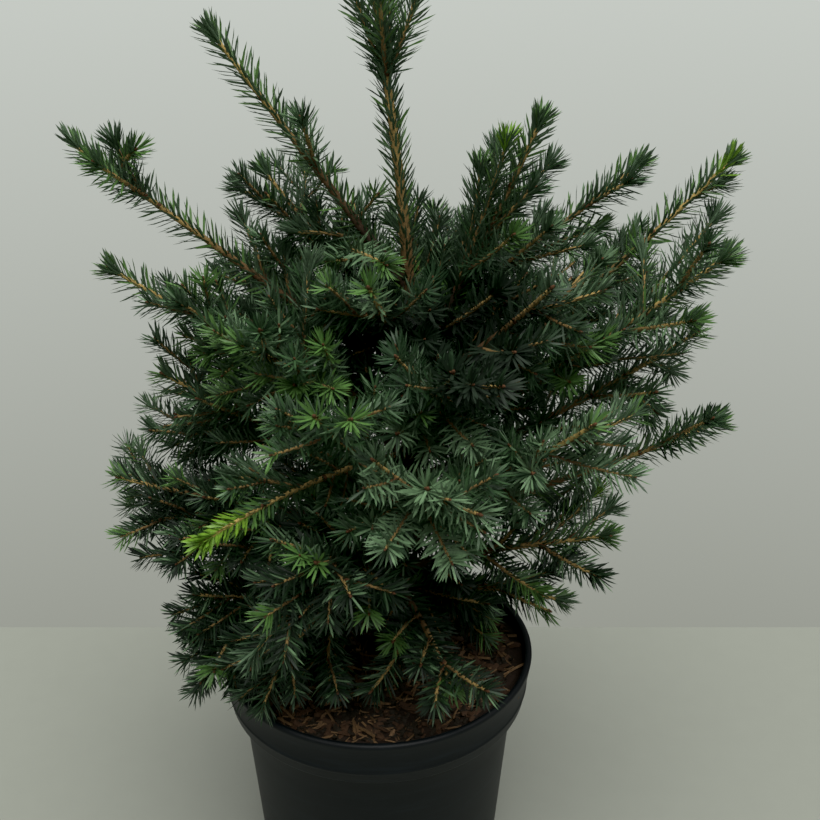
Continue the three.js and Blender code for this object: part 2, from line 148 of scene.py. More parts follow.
# Tints are those seen from the front, and deep is painted shade on limbs that lie in shade, which also
# darkens their wood.
# Above 0.5, young also brings yellow-green needles, and above 1 the whole limb is golden
BOUGHS = [
    Bough("top_left", 0.383, 179, 0.096, 0.130, 0.0, 0.0, 3, 0.024, "green", 0.45, 0.0),
    Bough("top_right", 0.338, -8, 0.064, 0.134, -0.006, 0.0, 5, 0.042, "deep", 0.5, 0.65),
    Bough("top_back_left", 0.352, 150, 0.094, 0.084, -0.004, 0.0, 3, 0.026, "deep", 0.25, 0.8),
    Bough("top_front", 0.345, -108, 0.066, 0.058, -0.004, 0.0, 3, 0.034, "pale", 0.1, 1.0),
    Bough("top_back_right", 0.347, 58, 0.088, 0.052, -0.004, 0.0, 4, 0.040, "deep", 0.15, 1.0),
    Bough("high_left", 0.325, 180, 0.172, 0.134, 0.0, 0.36, 4, 0.030, "green", 0.4, 0.3),
    Bough("high_right", 0.358, 12, 0.124, 0.086, -0.003, 0.0, 4, 0.026, "deep", 0.35, 0.5),
    Bough("high_front_right", 0.322, -46, 0.094, 0.082, -0.006, 0.0, 4, 0.046, "deep", 0.2, 1.0),
    Bough("far_right", 0.300, 4, 0.168, 0.148, -0.010, 0.42, 4, 0.032, "green", 0.75, 0.45),
    Bough("upper_left", 0.298, -177, 0.157, 0.097, -0.004, 0.34, 5, 0.036, "green", 0.4, 0.6),
    Bough("upper_front_left", 0.311, -136, 0.112, 0.069, -0.006, 0.34, 4, 0.052, "green", 0.3, 1.0),
    Bough("upper_front", 0.290, -80, 0.112, 0.088, -0.006, 0.4, 4, 0.046, "pale", 0.1, 1.0),
    Bough("right", 0.283, -13, 0.162, 0.127, -0.008, 0.36, 5, 0.036, "green", 0.3, 0.7),
    Bough("back_right", 0.273, 38, 0.142, 0.095, -0.006, 0.34, 5, 0.060, "deep", 0.25, 1.0),
    Bough("back_left", 0.276, 134, 0.138, 0.080, -0.006, 0.34, 4, 0.060, "deep", 0.15, 1.0),
    Bough("front_shoot", 0.282, -123, 0.168, 0.027, 0.014, 0.5, 2, 0.026, "green", 1.1, 0.6),
    Bough("back", 0.268, 86, 0.142, 0.076, -0.005, 0.34, 4, 0.060, "green", 0.2, 1.0),
    Bough("front_left", 0.268, -108, 0.130, 0.094, -0.008, 0.4, 4, 0.050, "green", 0.1, 1.0),
    Bough("left", 0.262, -175, 0.132, 0.074, -0.005, 0.34, 4, 0.046, "green", 0.2, 1.0),
    Bough("mid_right", 0.262, -3, 0.157, 0.097, -0.008, 0.34, 5, 0.040, "green", 0.2, 0.6),
    Bough("front", 0.256, -86, 0.150, 0.084, -0.008, 0.42, 4, 0.050, "pale", 0.0, 1.0),
    Bough("front_right", 0.245, -43, 0.126, 0.095, -0.008, 0.34, 4, 0.052, "pale", 0.1, 1.0),
    Bough("lower_right", 0.235, -5, 0.176, 0.074, -0.008, 0.34, 5, 0.040, "green", 0.35, 0.4),
    Bough("lower_left", 0.236, -172, 0.158, 0.042, -0.008, 0.34, 5, 0.046, "deep", 0.2, 1.0),
    Bough("lower_front", 0.226, -106, 0.134, 0.064, -0.008, 0.36, 4, 0.052, "deep", 0.1, 1.0),
    Bough("low_back_right", 0.214, 52, 0.136, 0.030, 0.002, 0.34, 4, 0.058, "green", 0.2, 0.6),
    Bough("low_back_left", 0.210, 122, 0.140, 0.026, 0.002, 0.34, 4, 0.058, "deep", 0.1, 1.0),
    Bough("low_right", 0.206, -16, 0.124, 0.042, 0.004, 0.34, 4, 0.046, "pale", 0.4, 0.5),
    Bough("drooping_right", 0.190, 4, 0.106, -0.012, 0.012, 0.0, 4, 0.040, "pale", 0.3, 0.5),
    Bough("drooping_left", 0.194, -168, 0.122, -0.018, 0.012, 0.3, 5, 0.044, "deep", 0.0, 1.0),
    Bough("drooping_front_left", 0.200, -134, 0.108, -0.008, 0.012, 0.34, 5, 0.044, "deep", 0.0, 1.0),
    Bough("drooping_front", 0.198, -68, 0.090, -0.016, 0.014, 0.34, 5, 0.042, "green", 0.2, 0.5),
]


class Spray(NamedTuple):
    """A long twig that the solids leave out: its bough, where it leaves it, and where its tip is."""

    bough: str
    along: float
    tip: tuple
    tint: str


# Their tints are as for the limbs: deep is painted shade on sprays that lie in shade
SPRAYS = [
    Spray("high_left", 0.69, (-0.128, -0.004, 0.461), "green"),
    Spray("lower_left", 0.25, (-0.129, -0.022, 0.252), "deep"),
    Spray("lower_left", 0.10, (-0.112, -0.040, 0.238), "deep"),
    Spray("drooping_left", 0.15, (-0.100, -0.040, 0.216), "deep"),
    Spray("drooping_left", 0.45, (-0.098, -0.055, 0.168), "deep"),
    Spray("drooping_left", 0.55, (-0.088, -0.066, 0.184), "deep"),
    Spray("left", 0.35, (-0.124, 0.004, 0.298), "green"),
    Spray("right", 0.45, (0.181, 0.010, 0.419), "green"),
    Spray("far_right", 0.10, (0.138, 0.030, 0.400), "pale"),
    Spray("top_right", 0.45, (0.093, 0.012, 0.447), "green"),
    Spray("top_back_left", 0.55, (0.008, -0.045, 0.410), "pale"),
    Spray("top_right", 0.30, (0.068, -0.010, 0.462), "young"),
    Spray("high_right", 0.45, (0.122, 0.020, 0.410), "green"),
    Spray("top_back_left", 0.55, (-0.075, 0.045, 0.427), "green"),
    Spray("upper_left", 0.20, (-0.085, -0.030, 0.358), "deep"),
    Spray("lower_front", 0.70, (-0.057, -0.125, 0.237), "green"),
    Spray("drooping_front_left", 0.50, (-0.060, -0.085, 0.173), "deep"),
    Spray("drooping_front", 0.70, (0.060, -0.095, 0.193), "green"),
    Spray("back_left", 0.30, (-0.010, 0.070, 0.310), "deep"),
    Spray("back_right", 0.25, (0.097, 0.060, 0.294), "deep"),
    Spray("mid_right", 0.55, (0.155, -0.010, 0.316), "green"),
    Spray("mid_right", 0.75, (0.167, 0.010, 0.331), "deep"),
    Spray("upper_front_left", 0.30, (-0.071, -0.030, 0.340), "deep"),
    Spray("lower_left", 0.05, (-0.055, -0.060, 0.250), "deep"),
    Spray("low_right", 0.20, (0.080, -0.020, 0.249), "pale"),
    Spray("high_left", 0.80, (-0.117, -0.010, 0.458), "green"),
    Spray("low_right", 0.50, (0.130, 0.010, 0.254), "young"),
    Spray("drooping_front_left", 0.15, (-0.024, -0.070, 0.173), "deep"),
    Spray("drooping_front", 0.10, (-0.001, -0.075, 0.177), "green"),
    Spray("back", 0.02, (0.025, 0.040, 0.197), "deep"),
    Spray("back", 0.06, (0.029, 0.070, 0.241), "deep"),
    Spray("back_right", 0.10, (0.067, 0.075, 0.332), "deep"),
    Spray("back_right", 0.06, (0.056, 0.060, 0.325), "deep"),
    Spray("top_back_right", 0.15, (0.033, 0.040, 0.414), "green"),
    Spray("drooping_left", 0.20, (-0.102, -0.020, 0.217), "deep"),
    Spray("lower_left", 0.08, (-0.071, -0.050, 0.245), "deep"),
    Spray("left", 0.45, (-0.113, -0.005, 0.292), "deep"),
    Spray("high_right", 0.30, (0.091, -0.015, 0.420), "pale"),
    Spray("high_right", 0.40, (0.114, 0.005, 0.405), "pale"),
    Spray("low_back_right", 0.30, (0.105, 0.060, 0.224), "deep"),
    Spray("top_left", 0.20, (-0.042, 0.005, 0.412), "green"),
    Spray("top_left", 0.10, (-0.021, -0.020, 0.404), "deep"),
    Spray("high_left", 0.02, (-0.047, 0.010, 0.401), "deep"),
    Spray("upper_front_left", 0.45, (-0.029, -0.035, 0.408), "green"),
    Spray("back_left", 0.45, (-0.063, 0.060, 0.380), "deep"),
    Spray("right", 0.62, (0.141, -0.010, 0.384), "deep"),
    Spray("drooping_right", 0.50, (0.105, 0.005, 0.202), "green"),
    Spray("top_right", 0.20, (0.010, 0.030, 0.411), "deep"),
    Spray("back", 0.15, (0.018, 0.105, 0.260), "deep"),
    Spray("low_back_left", 0.10, (0.000, 0.098, 0.240), "deep"),
    Spray("low_back_right", 0.10, (0.040, 0.100, 0.246), "deep"),
    Spray("back_left", 0.15, (-0.045, 0.085, 0.268), "deep"),
    Spray("back_right", 0.20, (0.085, 0.075, 0.272), "deep"),
    Spray("top_right", 0.35, (0.056, 0.000, 0.447), "green"),
    Spray("top_right", 0.55, (0.082, -0.012, 0.439), "green"),
    Spray("high_right", 0.75, (0.135, 0.012, 0.438), "green"),
    Spray("far_right", 0.80, (0.185, 0.020, 0.434), "green"),
    Spray("right", 0.60, (0.142, 0.000, 0.402), "green"),
    Spray("right", 0.45, (0.134, 0.000, 0.377), "deep"),
    Spray("mid_right", 0.60, (0.154, 0.000, 0.305), "green"),
    Spray("left", 0.75, (-0.101, 0.000, 0.341), "deep"),
    Spray("lower_right", 0.40, (0.105, 0.015, 0.245), "deep"),
    Spray("back_left", 0.22, (-0.006, 0.050, 0.317), "deep"),
    Spray("low_back_left", 0.30, (-0.049, 0.050, 0.235), "deep"),
    Spray("low_back_left", 0.45, (-0.023, 0.045, 0.235), "deep"),
    Spray("low_back_left", 0.10, (-0.009, 0.030, 0.236), "deep"),
    Spray("drooping_left", 0.35, (-0.090, 0.000, 0.211), "deep"),
    Spray("left", 0.30, (-0.095, 0.020, 0.276), "deep"),
]
# Twigs of the rule that are left out, where the photo shows sky or the front shoot
BARE_TWIGS = {
    "top_left_3", "high_left_2", "high_left_3", "upper_left_4", "top_right_5", "high_right_3",
    "high_right_4", "far_right_3", "far_right_4", "mid_right_5", "lower_right_1", "lower_right_4",
    "lower_right_3", "left_4", "mid_right_4", "low_back_right_3", "upper_left_3", "lower_left_4",
    "drooping_front_2", "drooping_front_4", "front_shoot_2", "front_right_2", "lower_right_2",
    "front_left_1", "top_front_2",
}
# A twig that is left out with the finer twigs on it, once these have taken their room
PRUNED_TWIG = "front_left_2"
FOLIAGE_NODES = [f"{bough.name}_foliage" for bough in BOUGHS] + ["leader_foliage"]
BOUGH_NODES = [f"{bough.name}_bough" for bough in BOUGHS if bough.bare > 0]

# How the visible tree goes on from the rule
LEADER_FOOT = 0.372
SPRAY_BOW = 0.12
FINE_SEED = 300
FINE_ROOM = 0.036
FINE_SPACING = 0.0095
FINE_SHORTEST = 0.026
FINE_OUTWARDS = 0.012
FINE_RADIUS = 0.0014
FINE_DRAWS = 5
FINE_ROLL = 75
FINE_MARGIN = 0.005
SPRAY_MARGIN = -0.005
INNER_MARGIN = -0.022
INNER_START = 0.16
TRUNK_TWIGS = 90
TRUNK_TWIG_SEED = 900
TRUNK_TWIG_HEIGHTS = (0.185, 0.392)
TRUNK_TWIG_TURN = 0.5
TRUNK_TWIG_SPLAYS = (45, 75)
TRUNK_TWIG_LENGTHS = (0.032, 0.050)
TRUNK_TWIG_LIFT = 0.2
GOLDEN_TURN = math.radians(137.508)
CROWN_MIDDLE = (0.015, 0.0, 0.27)
STEM_TIP_RADIUS = 0.0010
TWIG_LOOK = (0.0013, 0.0008)
FINE_LOOK = (0.0009, 0.0006)

# The dark hollow of the crown, as a line into it
HOLLOW = np.array(((0.052, -0.030, 0.368), (0.045, -0.150, 0.417)))
HOLLOW_RADIUS = 0.020

# Room that stays free in the crown, as lines with a radius each: before the hollow,
# before the golden front shoot, and where sky shows through from front to back
CLEARINGS = ((np.array(((0.052, -0.040, 0.373), (0.045, -0.150, 0.417))), 0.008),)
FRONT_CLEARINGS = (
    (np.array(((-0.010, -0.060, 0.306), (-0.073, -0.155, 0.322))), 0.014),
    (np.array(((-0.018, -0.066, 0.306), (-0.014, -0.155, 0.352))), 0.011),
    (np.array(((-0.034, -0.085, 0.312), (-0.031, -0.155, 0.346))), 0.011),
)
SKY_FRONT = -0.120
SKY_BACK = 0.100
# Each row is a gap's place across and up in front, the same behind, and its radius
SKY_GAPS = tuple(
    (np.array(((near_x, SKY_FRONT, near_z), (far_x, SKY_BACK, far_z))), radius)
    for near_x, near_z, far_x, far_z, radius in (
        (-0.089, 0.365, -0.144, 0.265, 0.0075),
        (-0.043, 0.464, -0.074, 0.414, 0.0070),
        (-0.084, 0.381, -0.136, 0.290, 0.0070),
        (-0.007, 0.464, -0.020, 0.413, 0.0080),
        (0.088, 0.337, 0.121, 0.224, 0.0085),
        (0.137, 0.427, 0.196, 0.359, 0.0075),
        (0.093, 0.262, 0.130, 0.112, 0.0085),
        (0.111, 0.341, 0.156, 0.230, 0.0075),
        (0.088, 0.430, 0.122, 0.363, 0.0060),
    )
)
CUT_STEPS = 25
CUT_SHORTEST = 0.45


def random_stream(seed):
    """Seeded numbers of the growth rule: a 32-bit congruential generator."""
    state = seed

    def draw(low, high):
        nonlocal state
        state = (state * STREAM_FACTOR + STREAM_STEP) % STREAM_RANGE
        return low + (high - low) * (state / STREAM_RANGE)

    return draw


def mix(start, end, share):
    return start + (end - start) * share


def unit(vector):
    return vector / np.linalg.norm(vector)


def units(vectors):
    return vectors / np.maximum(np.linalg.norm(vectors, axis=-1, keepdims=True), 1e-12)


def level_way(bearing):
    return np.array((math.cos(bearing), math.sin(bearing), 0))


def trunk_centre(height):
    share = max(height - TRUNK_FOOT, 0) / (TREE_TOP - TRUNK_FOOT)
    side = LEAN * math.sin(math.pi * share**LEAN_POWER)
    depth = SWAY * math.sin(2 * math.pi * share)
    return np.array((side, depth, height))


def trunk_radius(height):
    share = (height - TRUNK_FOOT) / (TREE_TOP - TRUNK_FOOT)
    flare = FLARE * math.exp(-(height - TRUNK_FOOT) / FLARE_HEIGHT)
    return mix(TRUNK_BASE_RADIUS, TRUNK_TIP_RADIUS, share) + flare


class Curve:
    """A limb's middle line through a foot, bowed by a middle point, to a tip."""

    def __init__(self, foot, middle, tip):
        self.points = np.array((foot, middle, tip))

    def at(self, shares):
        shares = np.asarray(shares, float)[..., None]
        foot, middle, tip = self.points
        return (1 - shares) ** 2 * foot + 2 * (1 - shares) * shares * middle + shares**2 * tip

    def tangent(self, shares):
        shares = np.asarray(shares, float)[..., None]
        foot, middle, tip = self.points
        return units((1 - shares) * (middle - foot) + shares * (tip - middle))

    def length(self):
        points = self.at(np.linspace(0, 1, LENGTH_CHORDS + 1))
        return np.linalg.norm(np.diff(points, axis=0), axis=1).sum()


class TrunkLine:
    """The trunk's own middle line between two heights, read as a limb's curve."""

    def __init__(self, low, high):
        self.low = low
        self.high = high

    def at(self, shares):
        heights = mix(self.low, self.high, np.asarray(shares, float))
        if heights.ndim == 0:
            return trunk_centre(float(heights))
        return np.array([trunk_centre(height) for height in heights])

    def tangent(self, shares):
        shares = np.asarray(shares, float)
        return units(self.at(shares + 0.01) - self.at(shares - 0.01))

    def length(self):
        return self.high - self.low


class Shoot:
    """A stem or twig that bears needles, from a share of its curve to the tip.

    look is its visible radius at foot and tip, mass the place of its limb in BOUGHS,
    and crosses says that it passes through a gap that stays free elsewhere.
    """

    def __init__(self, curve, start, owner, radii, look, mass, order, end=1):
        self.curve = curve
        self.start = start
        self.end = end
        self.owner = owner
        self.radii = radii
        self.look = look
        self.mass = mass
        self.order = order
        self.tint = None
        self.crosses = False

    @property
    def bough(self):
        """The limb that it belongs to, or None on the trunk."""
        return BOUGHS[self.mass] if self.mass < len(BOUGHS) else None

    def length(self):
        return self.curve.length() * (self.end - self.start)


class Space:
    """Room that limbs and shoots take, as capsules with an owner each."""

    def __init__(self):
        self.rows = np.zeros((0, 7))
        self.owners = np.zeros(0, int)
        self.numbers = {}

    def capsules(self, points, radii):
        radii = np.maximum(radii[:-1], radii[1:])
        return np.concatenate((points[:-1], points[1:], radii[:, None]), axis=1)

    def take(self, points, radii, owner):
        number = self.numbers.setdefault(owner, len(self.numbers))
        rows = self.capsules(points, radii)
        self.rows = np.concatenate((self.rows, rows))
        self.owners = np.concatenate((self.owners, np.full(len(rows), number)))

    def room_round(self, points, radii, excepted):
        """Room between each capsule of a new limb and all that is taken, but for one owner's."""
        others = self.rows[self.owners != self.numbers[excepted]]
        rows = self.capsules(points, radii)
        room = [gaps_between(row[:3], row[3:6], others[:, :3], others[:, 3:6]) - row[6] - others[:, 6]
                for row in rows]
        return np.array([gaps.min() for gaps in room])


def gaps_between(start, end, starts, ends):
    """Distances from one segment to many."""
    u = end - start
    v = ends - starts
    w = start - starts
    uu = u @ u
    uv = v @ u
    vv = (v * v).sum(axis=1)
    uw = w @ u
    vw = (v * w).sum(axis=1)
    spread = uu * vv - uv * uv
    skew = spread > 1e-12 * uu * vv
    s = np.where(skew, np.clip((uv * vw - vv * uw) / np.where(skew, spread, 1), 0, 1), 0)
    t = np.clip((uv * s + vw) / vv, 0, 1)
    s = np.clip((uv * t - uw) / uu, 0, 1)
    return np.linalg.norm(w + s[:, None] * u - t[:, None] * v, axis=1)


def frame_along(along):
    across = unit(np.cross(along, UP))
    return across, unit(np.cross(across, along))


def bough_curve(bough):
    foot = trunk_centre(bough.foot)
    tip = foot + level_way(math.radians(bough.turn)) * bough.out + UP * bough.rise
    _, over = frame_along(unit(tip - foot))
    return Curve(foot, mix(foot, tip, 0.5) + over * bough.bow, tip)


def grow_twig(parent, order, count, room, draw, shortest=TWIG_SHORTEST, roll_most=ROLL_MOST):
    """A twig that leans off its parent, alternately left and right, and straightens."""
    along = mix(FIRST_TWIG, LAST_TWIG, (order + draw(0, TWIG_STAGGER)) / count)
    side = 1 if order % 2 == 0 else -1
    splay = math.radians(draw(SPLAY_LEAST, SPLAY_MOST))
    roll = math.radians(draw(-roll_most, roll_most))
    share = mix(TWIG_SHARE_FOOT, TWIG_SHARE_TIP, along) * draw(*TWIG_LENGTHS)
    at = mix(parent.start, parent.end, along)
    foot = parent.curve.at(at)
    tangent = parent.curve.tangent(at)
    across, over = frame_along(tangent)
    length = min(max(parent.length() * share, shortest), room / math.sin(splay))
    lean = across * side * math.cos(roll) + over * math.sin(roll)
    first = tangent * math.cos(splay) + lean * math.sin(splay)
    last = unit(first + tangent * TWIG_STRAIGHTENS)
    middle = foot + first * length / 2
    return Curve(foot, middle, middle + last * length / 2)


def shoot_points(shoot):
    shares = np.linspace(shoot.start, 1, SHOOT_STEPS + 1)
    return shoot.curve.at(shares), np.linspace(*shoot.radii, SHOOT_STEPS + 1)


@cache
def grow_tree():
    """Every shoot of the crown, grown once: stems with the leader, twigs, and finer twigs."""
    space = Space()
    flare_top = TRUNK_FOOT + 3 * FLARE_HEIGHT
    heights = [*np.linspace(TRUNK_FOOT - TRUNK_TRIM, flare_top, FLARE_RINGS),
               *np.linspace(flare_top, TREE_TOP, TRUNK_RINGS + 1)[1:]]
    trunk_points = np.array([trunk_centre(height) for height in heights])
    space.take(trunk_points, np.array([trunk_radius(height) for height in heights]), "trunk")
    stems = grow_stems(space)
    leader = Shoot(TrunkLine(SLEEVE_FOOT, SLEEVE_TOP), 0, "leader_0", SLEEVE_RADII, None, len(BOUGHS), 0)
    space.take(*shoot_points(leader), leader.owner)
    leader.curve = TrunkLine(LEADER_FOOT, SLEEVE_TOP)
    leader_twigs = grow_leader_twigs(space)
    twigs = grow_twigs(stems, space)
    trunk_twigs = grow_trunk_twigs(space)
    inner = [Shoot(stem.curve, INNER_START, f"{bough.name}_bough", None, None, stem.mass, 0, bough.bare)
             for stem, bough in zip(stems, BOUGHS) if bough.bare > 0]
    twigs = [twig for twig in twigs if twig.owner not in BARE_TWIGS]
    sprays = grow_sprays(stems, space)
    fine = grow_fine_twigs([*stems, *twigs, *sprays, *inner], space)
    stems, twigs, fine = ([shoot for shoot in shoots if cut_back(shoot)]
                          for shoots in (stems, [*twigs, *sprays], fine))
    return [*stems, leader], [*leader_twigs, *twigs], [*trunk_twigs, *fine]


def grow_stems(space):
    stems = []
    for index, bough in enumerate(BOUGHS):
        curve = bough_curve(bough)
        start = 0
        if bough.bare > 0:
            points = curve.at(np.linspace(0, bough.bare, BOUGH_STEPS + 1))
            radii = np.linspace(BOUGH_FOOT_RADIUS, BOUGH_END_RADIUS, BOUGH_STEPS + 1)
            space.take(points, radii, f"{bough.name}_bough")
            start = bough.bare + GAP / curve.length()
        stem = Shoot(curve, start, f"{bough.name}_0", STEM_RADII, None, index, 0)
        space.take(*shoot_points(stem), stem.owner)
        stems.append(stem)
    return stems


def openings_for(shoot):
    front_shoot = shoot.bough and shoot.bough.name == "front_shoot"
    return (*CLEARINGS, *SKY_GAPS, *(() if front_shoot else FRONT_CLEARINGS))


def cut_back(shoot):
    """Ends a twig before the gap that its tip would fill, and says whether enough of it stays.

    A stem, or a twig that only crosses a gap, stays whole and keeps its needles there.
    """
    if shoot.owner.startswith(PRUNED_TWIG):
        return False
    shares = np.linspace(0, 1, CUT_STEPS)
    points = shoot.curve.at(shares)
    inside = np.zeros(CUT_STEPS, bool)
    for line, radius in openings_for(shoot):
        inside |= distances(points, line) < radius
    whole = shoot.order == 0 or not inside[-1]
    shoot.crosses = inside.any() and whole
    if whole:
        return True
    share = shares[:-1][~inside[:-1]].max(initial=0)
    foot, middle, _ = shoot.curve.points
    shoot.curve = Curve(foot, mix(foot, middle, share), shoot.curve.at(share))
    return share > CUT_SHORTEST


def grow_leader_twigs(space):
    twigs = []
    for order in range(LEADER_TWIGS):
        bearing = math.radians(LEADER_TWIG_BEARING + 360 * order / LEADER_TWIGS)
        splay = math.radians(LEADER_TWIG_SPLAY)
        lean = level_way(bearing) * math.sin(splay)
        foot = trunk_centre(LEADER_NODE)
        middle = foot + (lean + UP * math.cos(splay)) * LEADER_TWIG_LENGTH / 2
        tip = middle + lean * LEADER_TWIG_LENGTH / 3 + UP * LEADER_TWIG_LENGTH / 2
        curve = Curve(foot, middle, tip)
        twig = Shoot(curve, 0, f"leader_{order + 1}", TWIG_RADII, TWIG_LOOK, len(BOUGHS), 1)
        space.take(*shoot_points(twig), twig.owner)
        twigs.append(twig)
    return twigs


def grow_trunk_twigs(space):
    """Short shoots on the trunk itself, which close the crown's inside."""
    draw = random_stream(TRUNK_TWIG_SEED)
    twigs = []
    for order in range(TRUNK_TWIGS):
        foot = trunk_centre(mix(*TRUNK_TWIG_HEIGHTS, order / TRUNK_TWIGS))
        for _ in range(FINE_DRAWS):
            bearing = GOLDEN_TURN * order + draw(-TRUNK_TWIG_TURN, TRUNK_TWIG_TURN)
            splay = math.radians(draw(*TRUNK_TWIG_SPLAYS))
            length = draw(*TRUNK_TWIG_LENGTHS)
            lean = level_way(bearing) * math.sin(splay)
            middle = foot + (lean + UP * math.cos(splay)) * length / 2
            last = unit(lean + UP * (math.cos(splay) + TRUNK_TWIG_LIFT))
            curve = Curve(foot, middle, middle + last * length / 2)
            twig = Shoot(curve, 0, f"trunk_{order}", (FINE_RADIUS,) * 2, FINE_LOOK, len(BOUGHS), 2)
            if space.room_round(*shoot_points(twig), "trunk").min() > CLEARANCE:
                space.take(*shoot_points(twig), twig.owner)
                twigs.append(twig)
                break
    return twigs


def grow_twigs(stems, space):
    """A twig of each mass in turn, skipped where it would touch anything."""
    draws = [random_stream(SEED + index) for index in range(len(BOUGHS))]
    twigs = []
    for order in range(max(bough.twigs for bough in BOUGHS)):
        for index, (bough, stem) in enumerate(zip(BOUGHS, stems)):
            if order >= bough.twigs:
                continue
            curve = grow_twig(stem, order, bough.twigs, bough.room, draws[index])
            twig = Shoot(curve, 0, f"{bough.name}_{order + 1}", TWIG_RADII, TWIG_LOOK, index, 1)
            points, radii = shoot_points(twig)
            if space.room_round(points, radii, stem.owner).min() > CLEARANCE:
                space.take(points, radii, twig.owner)
                twigs.append(twig)
    return twigs


def grow_sprays(stems, space):
    """The long twigs that the solids leave out."""
    masses = {bough.name: mass for mass, bough in enumerate(BOUGHS)}
    sprays = []
    for order, spray in enumerate(SPRAYS):
        stem = stems[masses[spray.bough]]
        share = mix(stem.start, 1, spray.along)
        foot, tip = stem.curve.at(share), np.array(spray.tip)
        length = np.linalg.norm(tip - foot)
        middle = mix(foot, tip, 0.5) + stem.curve.tangent(share) * length * SPRAY_BOW
        twig = Shoot(Curve(foot, middle, tip), 0, f"spray_{order}", TWIG_RADII, TWIG_LOOK, stem.mass, 1)
        twig.tint = spray.tint
        space.take(*shoot_points(twig), twig.owner)
        sprays.append(twig)
    return sprays


def grow_fine_twigs(parents, space):
    """Finer twigs on all limbs, each the roomiest of a few draws, within the reach of its mass."""
    fine = []
    for place, parent in enumerate(parents):
        draw = random_stream(FINE_SEED + place)
        bough = parent.bough
        reach = bough.bushy * bough.out
        low, high = (np.array(corner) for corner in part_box(FOLIAGE_NODES[parent.mass]))
        margin = INNER_MARGIN if parent.end < 1 else SPRAY_MARGIN if parent.tint else FINE_MARGIN
        count = max(int(parent.length() / FINE_SPACING), 1)
        for order in range(count):
            best, most = None, -1
            for _ in range(FINE_DRAWS):
                curve = grow_twig(parent, order, count, FINE_ROOM, draw, FINE_SHORTEST, FINE_ROLL)
                twig = Shoot(curve, 0, f"{parent.owner}_{place}_{order}", (FINE_RADIUS,) * 2, FINE_LOOK,
                             parent.mass, 2)
                points, radii = shoot_points(twig)
                room = space.room_round(points, radii, parent.owner)
                inside = np.all((points[-1] > low + margin) & (points[-1] < high - margin))
                near = bough.bushy == 1 or np.linalg.norm(points[0][:2]) < reach
                hollow = gaps_between(points[1], points[-1], HOLLOW[:1], HOLLOW[1:])[0] < HOLLOW_RADIUS
                outwards = unit(points[-1] - CROWN_MIDDLE) @ unit(points[-1] - points[0])
                score = room[-1] + FINE_OUTWARDS * outwards
                if inside and near and not hollow and room.min() > CLEARANCE and score > most:
                    best, most = twig, score
            if best:
                space.take(*shoot_points(best), best.owner)
                fine.append(best)
    return fine


def mesh_piece(name, places, faces, materials, kinds=None, smooth=True, values=None):
    """One object at the origin from arrays of places and faces, with an optional value at each place."""
    mesh = bpy.data.meshes.new(name)
    corners = faces.shape[1]
    mesh.vertices.add(len(places))
    mesh.vertices.foreach_set("co", np.ascontiguousarray(places, np.float32).ravel())
    mesh.loops.add(faces.size)
    mesh.loops.foreach_set("vertex_index", np.ascontiguousarray(faces, np.int32).ravel())
    mesh.polygons.add(len(faces))
    mesh.polygons.foreach_set("loop_start", np.arange(0, faces.size, corners, dtype=np.int32))
    for material in materials:
        mesh.materials.append(material)
    if kinds is not None:
        mesh.polygons.foreach_set("material_index", np.ascontiguousarray(kinds, np.int32))
    mesh.update(calc_edges=True)
    mesh.validate()
    mesh.polygons.foreach_set("use_smooth", np.full(len(mesh.polygons), smooth))
    if values is not None:
        layer = mesh.attributes.new("age", "FLOAT", "POINT")
        layer.data.foreach_set("value", np.ascontiguousarray(values, np.float32))
    piece = bpy.data.objects.new(name, mesh)
    bpy.context.scene.collection.objects.link(piece)
    return piece


def frames_on(curve, shares):
    """Points with unit vectors along, across and over a limb at each share of its way."""
    points = curve.at(shares)
    along = curve.tangent(shares)
    steep = abs(along[0] @ UP) > 0.9
    across = units(np.cross(along, np.array((1.0, 0.0, 0.0)) if steep else UP))
    return points, along, across, np.cross(across, along)


def cells(rings, sides):
    """Indexes of each grid cell's first two corners, round closed rings."""
    ring, side = np.meshgrid(np.arange(rings), np.arange(sides), indexing="ij")
    return (ring * sides + side).ravel(), (ring * sides + (side + 1) % sides).ravel()


def fan(centre, starts, ends):
    """Triangles from one place to a row of edges."""
    return np.stack((np.full(len(starts), centre), starts, ends), 1)


def tube(points, across, over, radii, sides, relief=None):
    """Places and triangles of a closed tube. relief scales the radius at each ring and side."""
    rings = len(points)
    turns = 2 * np.pi * np.arange(sides) / sides
    spread = across[:, None] * np.cos(turns)[:, None] + over[:, None] * np.sin(turns)[:, None]
    reach = np.repeat(radii[:, None], sides, axis=1)
    if relief is not None:
        reach = reach * relief
    skin = points[:, None] + spread * reach[..., None]
    a, b = cells(rings - 1, sides)
    walls = np.concatenate((np.stack((a, b, b + sides), 1), np.stack((a, b + sides, a + sides), 1)))
    around = np.arange(sides)
    after = (around + 1) % sides
    last = (rings - 1) * sides
    low = fan(rings * sides, after, around)
    high = fan(rings * sides + 1, last + around, last + after)
    places = np.concatenate((skin.reshape(-1, 3), points[:1], points[-1:]))
    return places, np.concatenate((walls, low, high))


def joined(parts):
    """Joins places, triangles and values of many parts into one set of arrays."""
    places, faces, values, offset = [], [], [], 0
    for part_places, part_faces, part_values in parts:
        places.append(part_places)
        faces.append(part_faces + offset)
        values.append(part_values)
        offset += len(part_places)
    return np.concatenate(places), np.concatenate(faces), np.concatenate(values)


# Needles: one closed form of a few faces, placed by arrays

TINTS = ("deep", "green", "pale", "inner", "fresh", "young")
NEEDLE_SEED = 41
NEEDLES_A_PIECE = 9500
NEEDLE_RINGS = ((0.1, 0.85), (0.74, 0.92))
NEEDLE_KEEL = 0.42
NEEDLE_LENGTHS = (0.88, 1.06)
NEEDLE_BENDS = (0.11, 0.05)

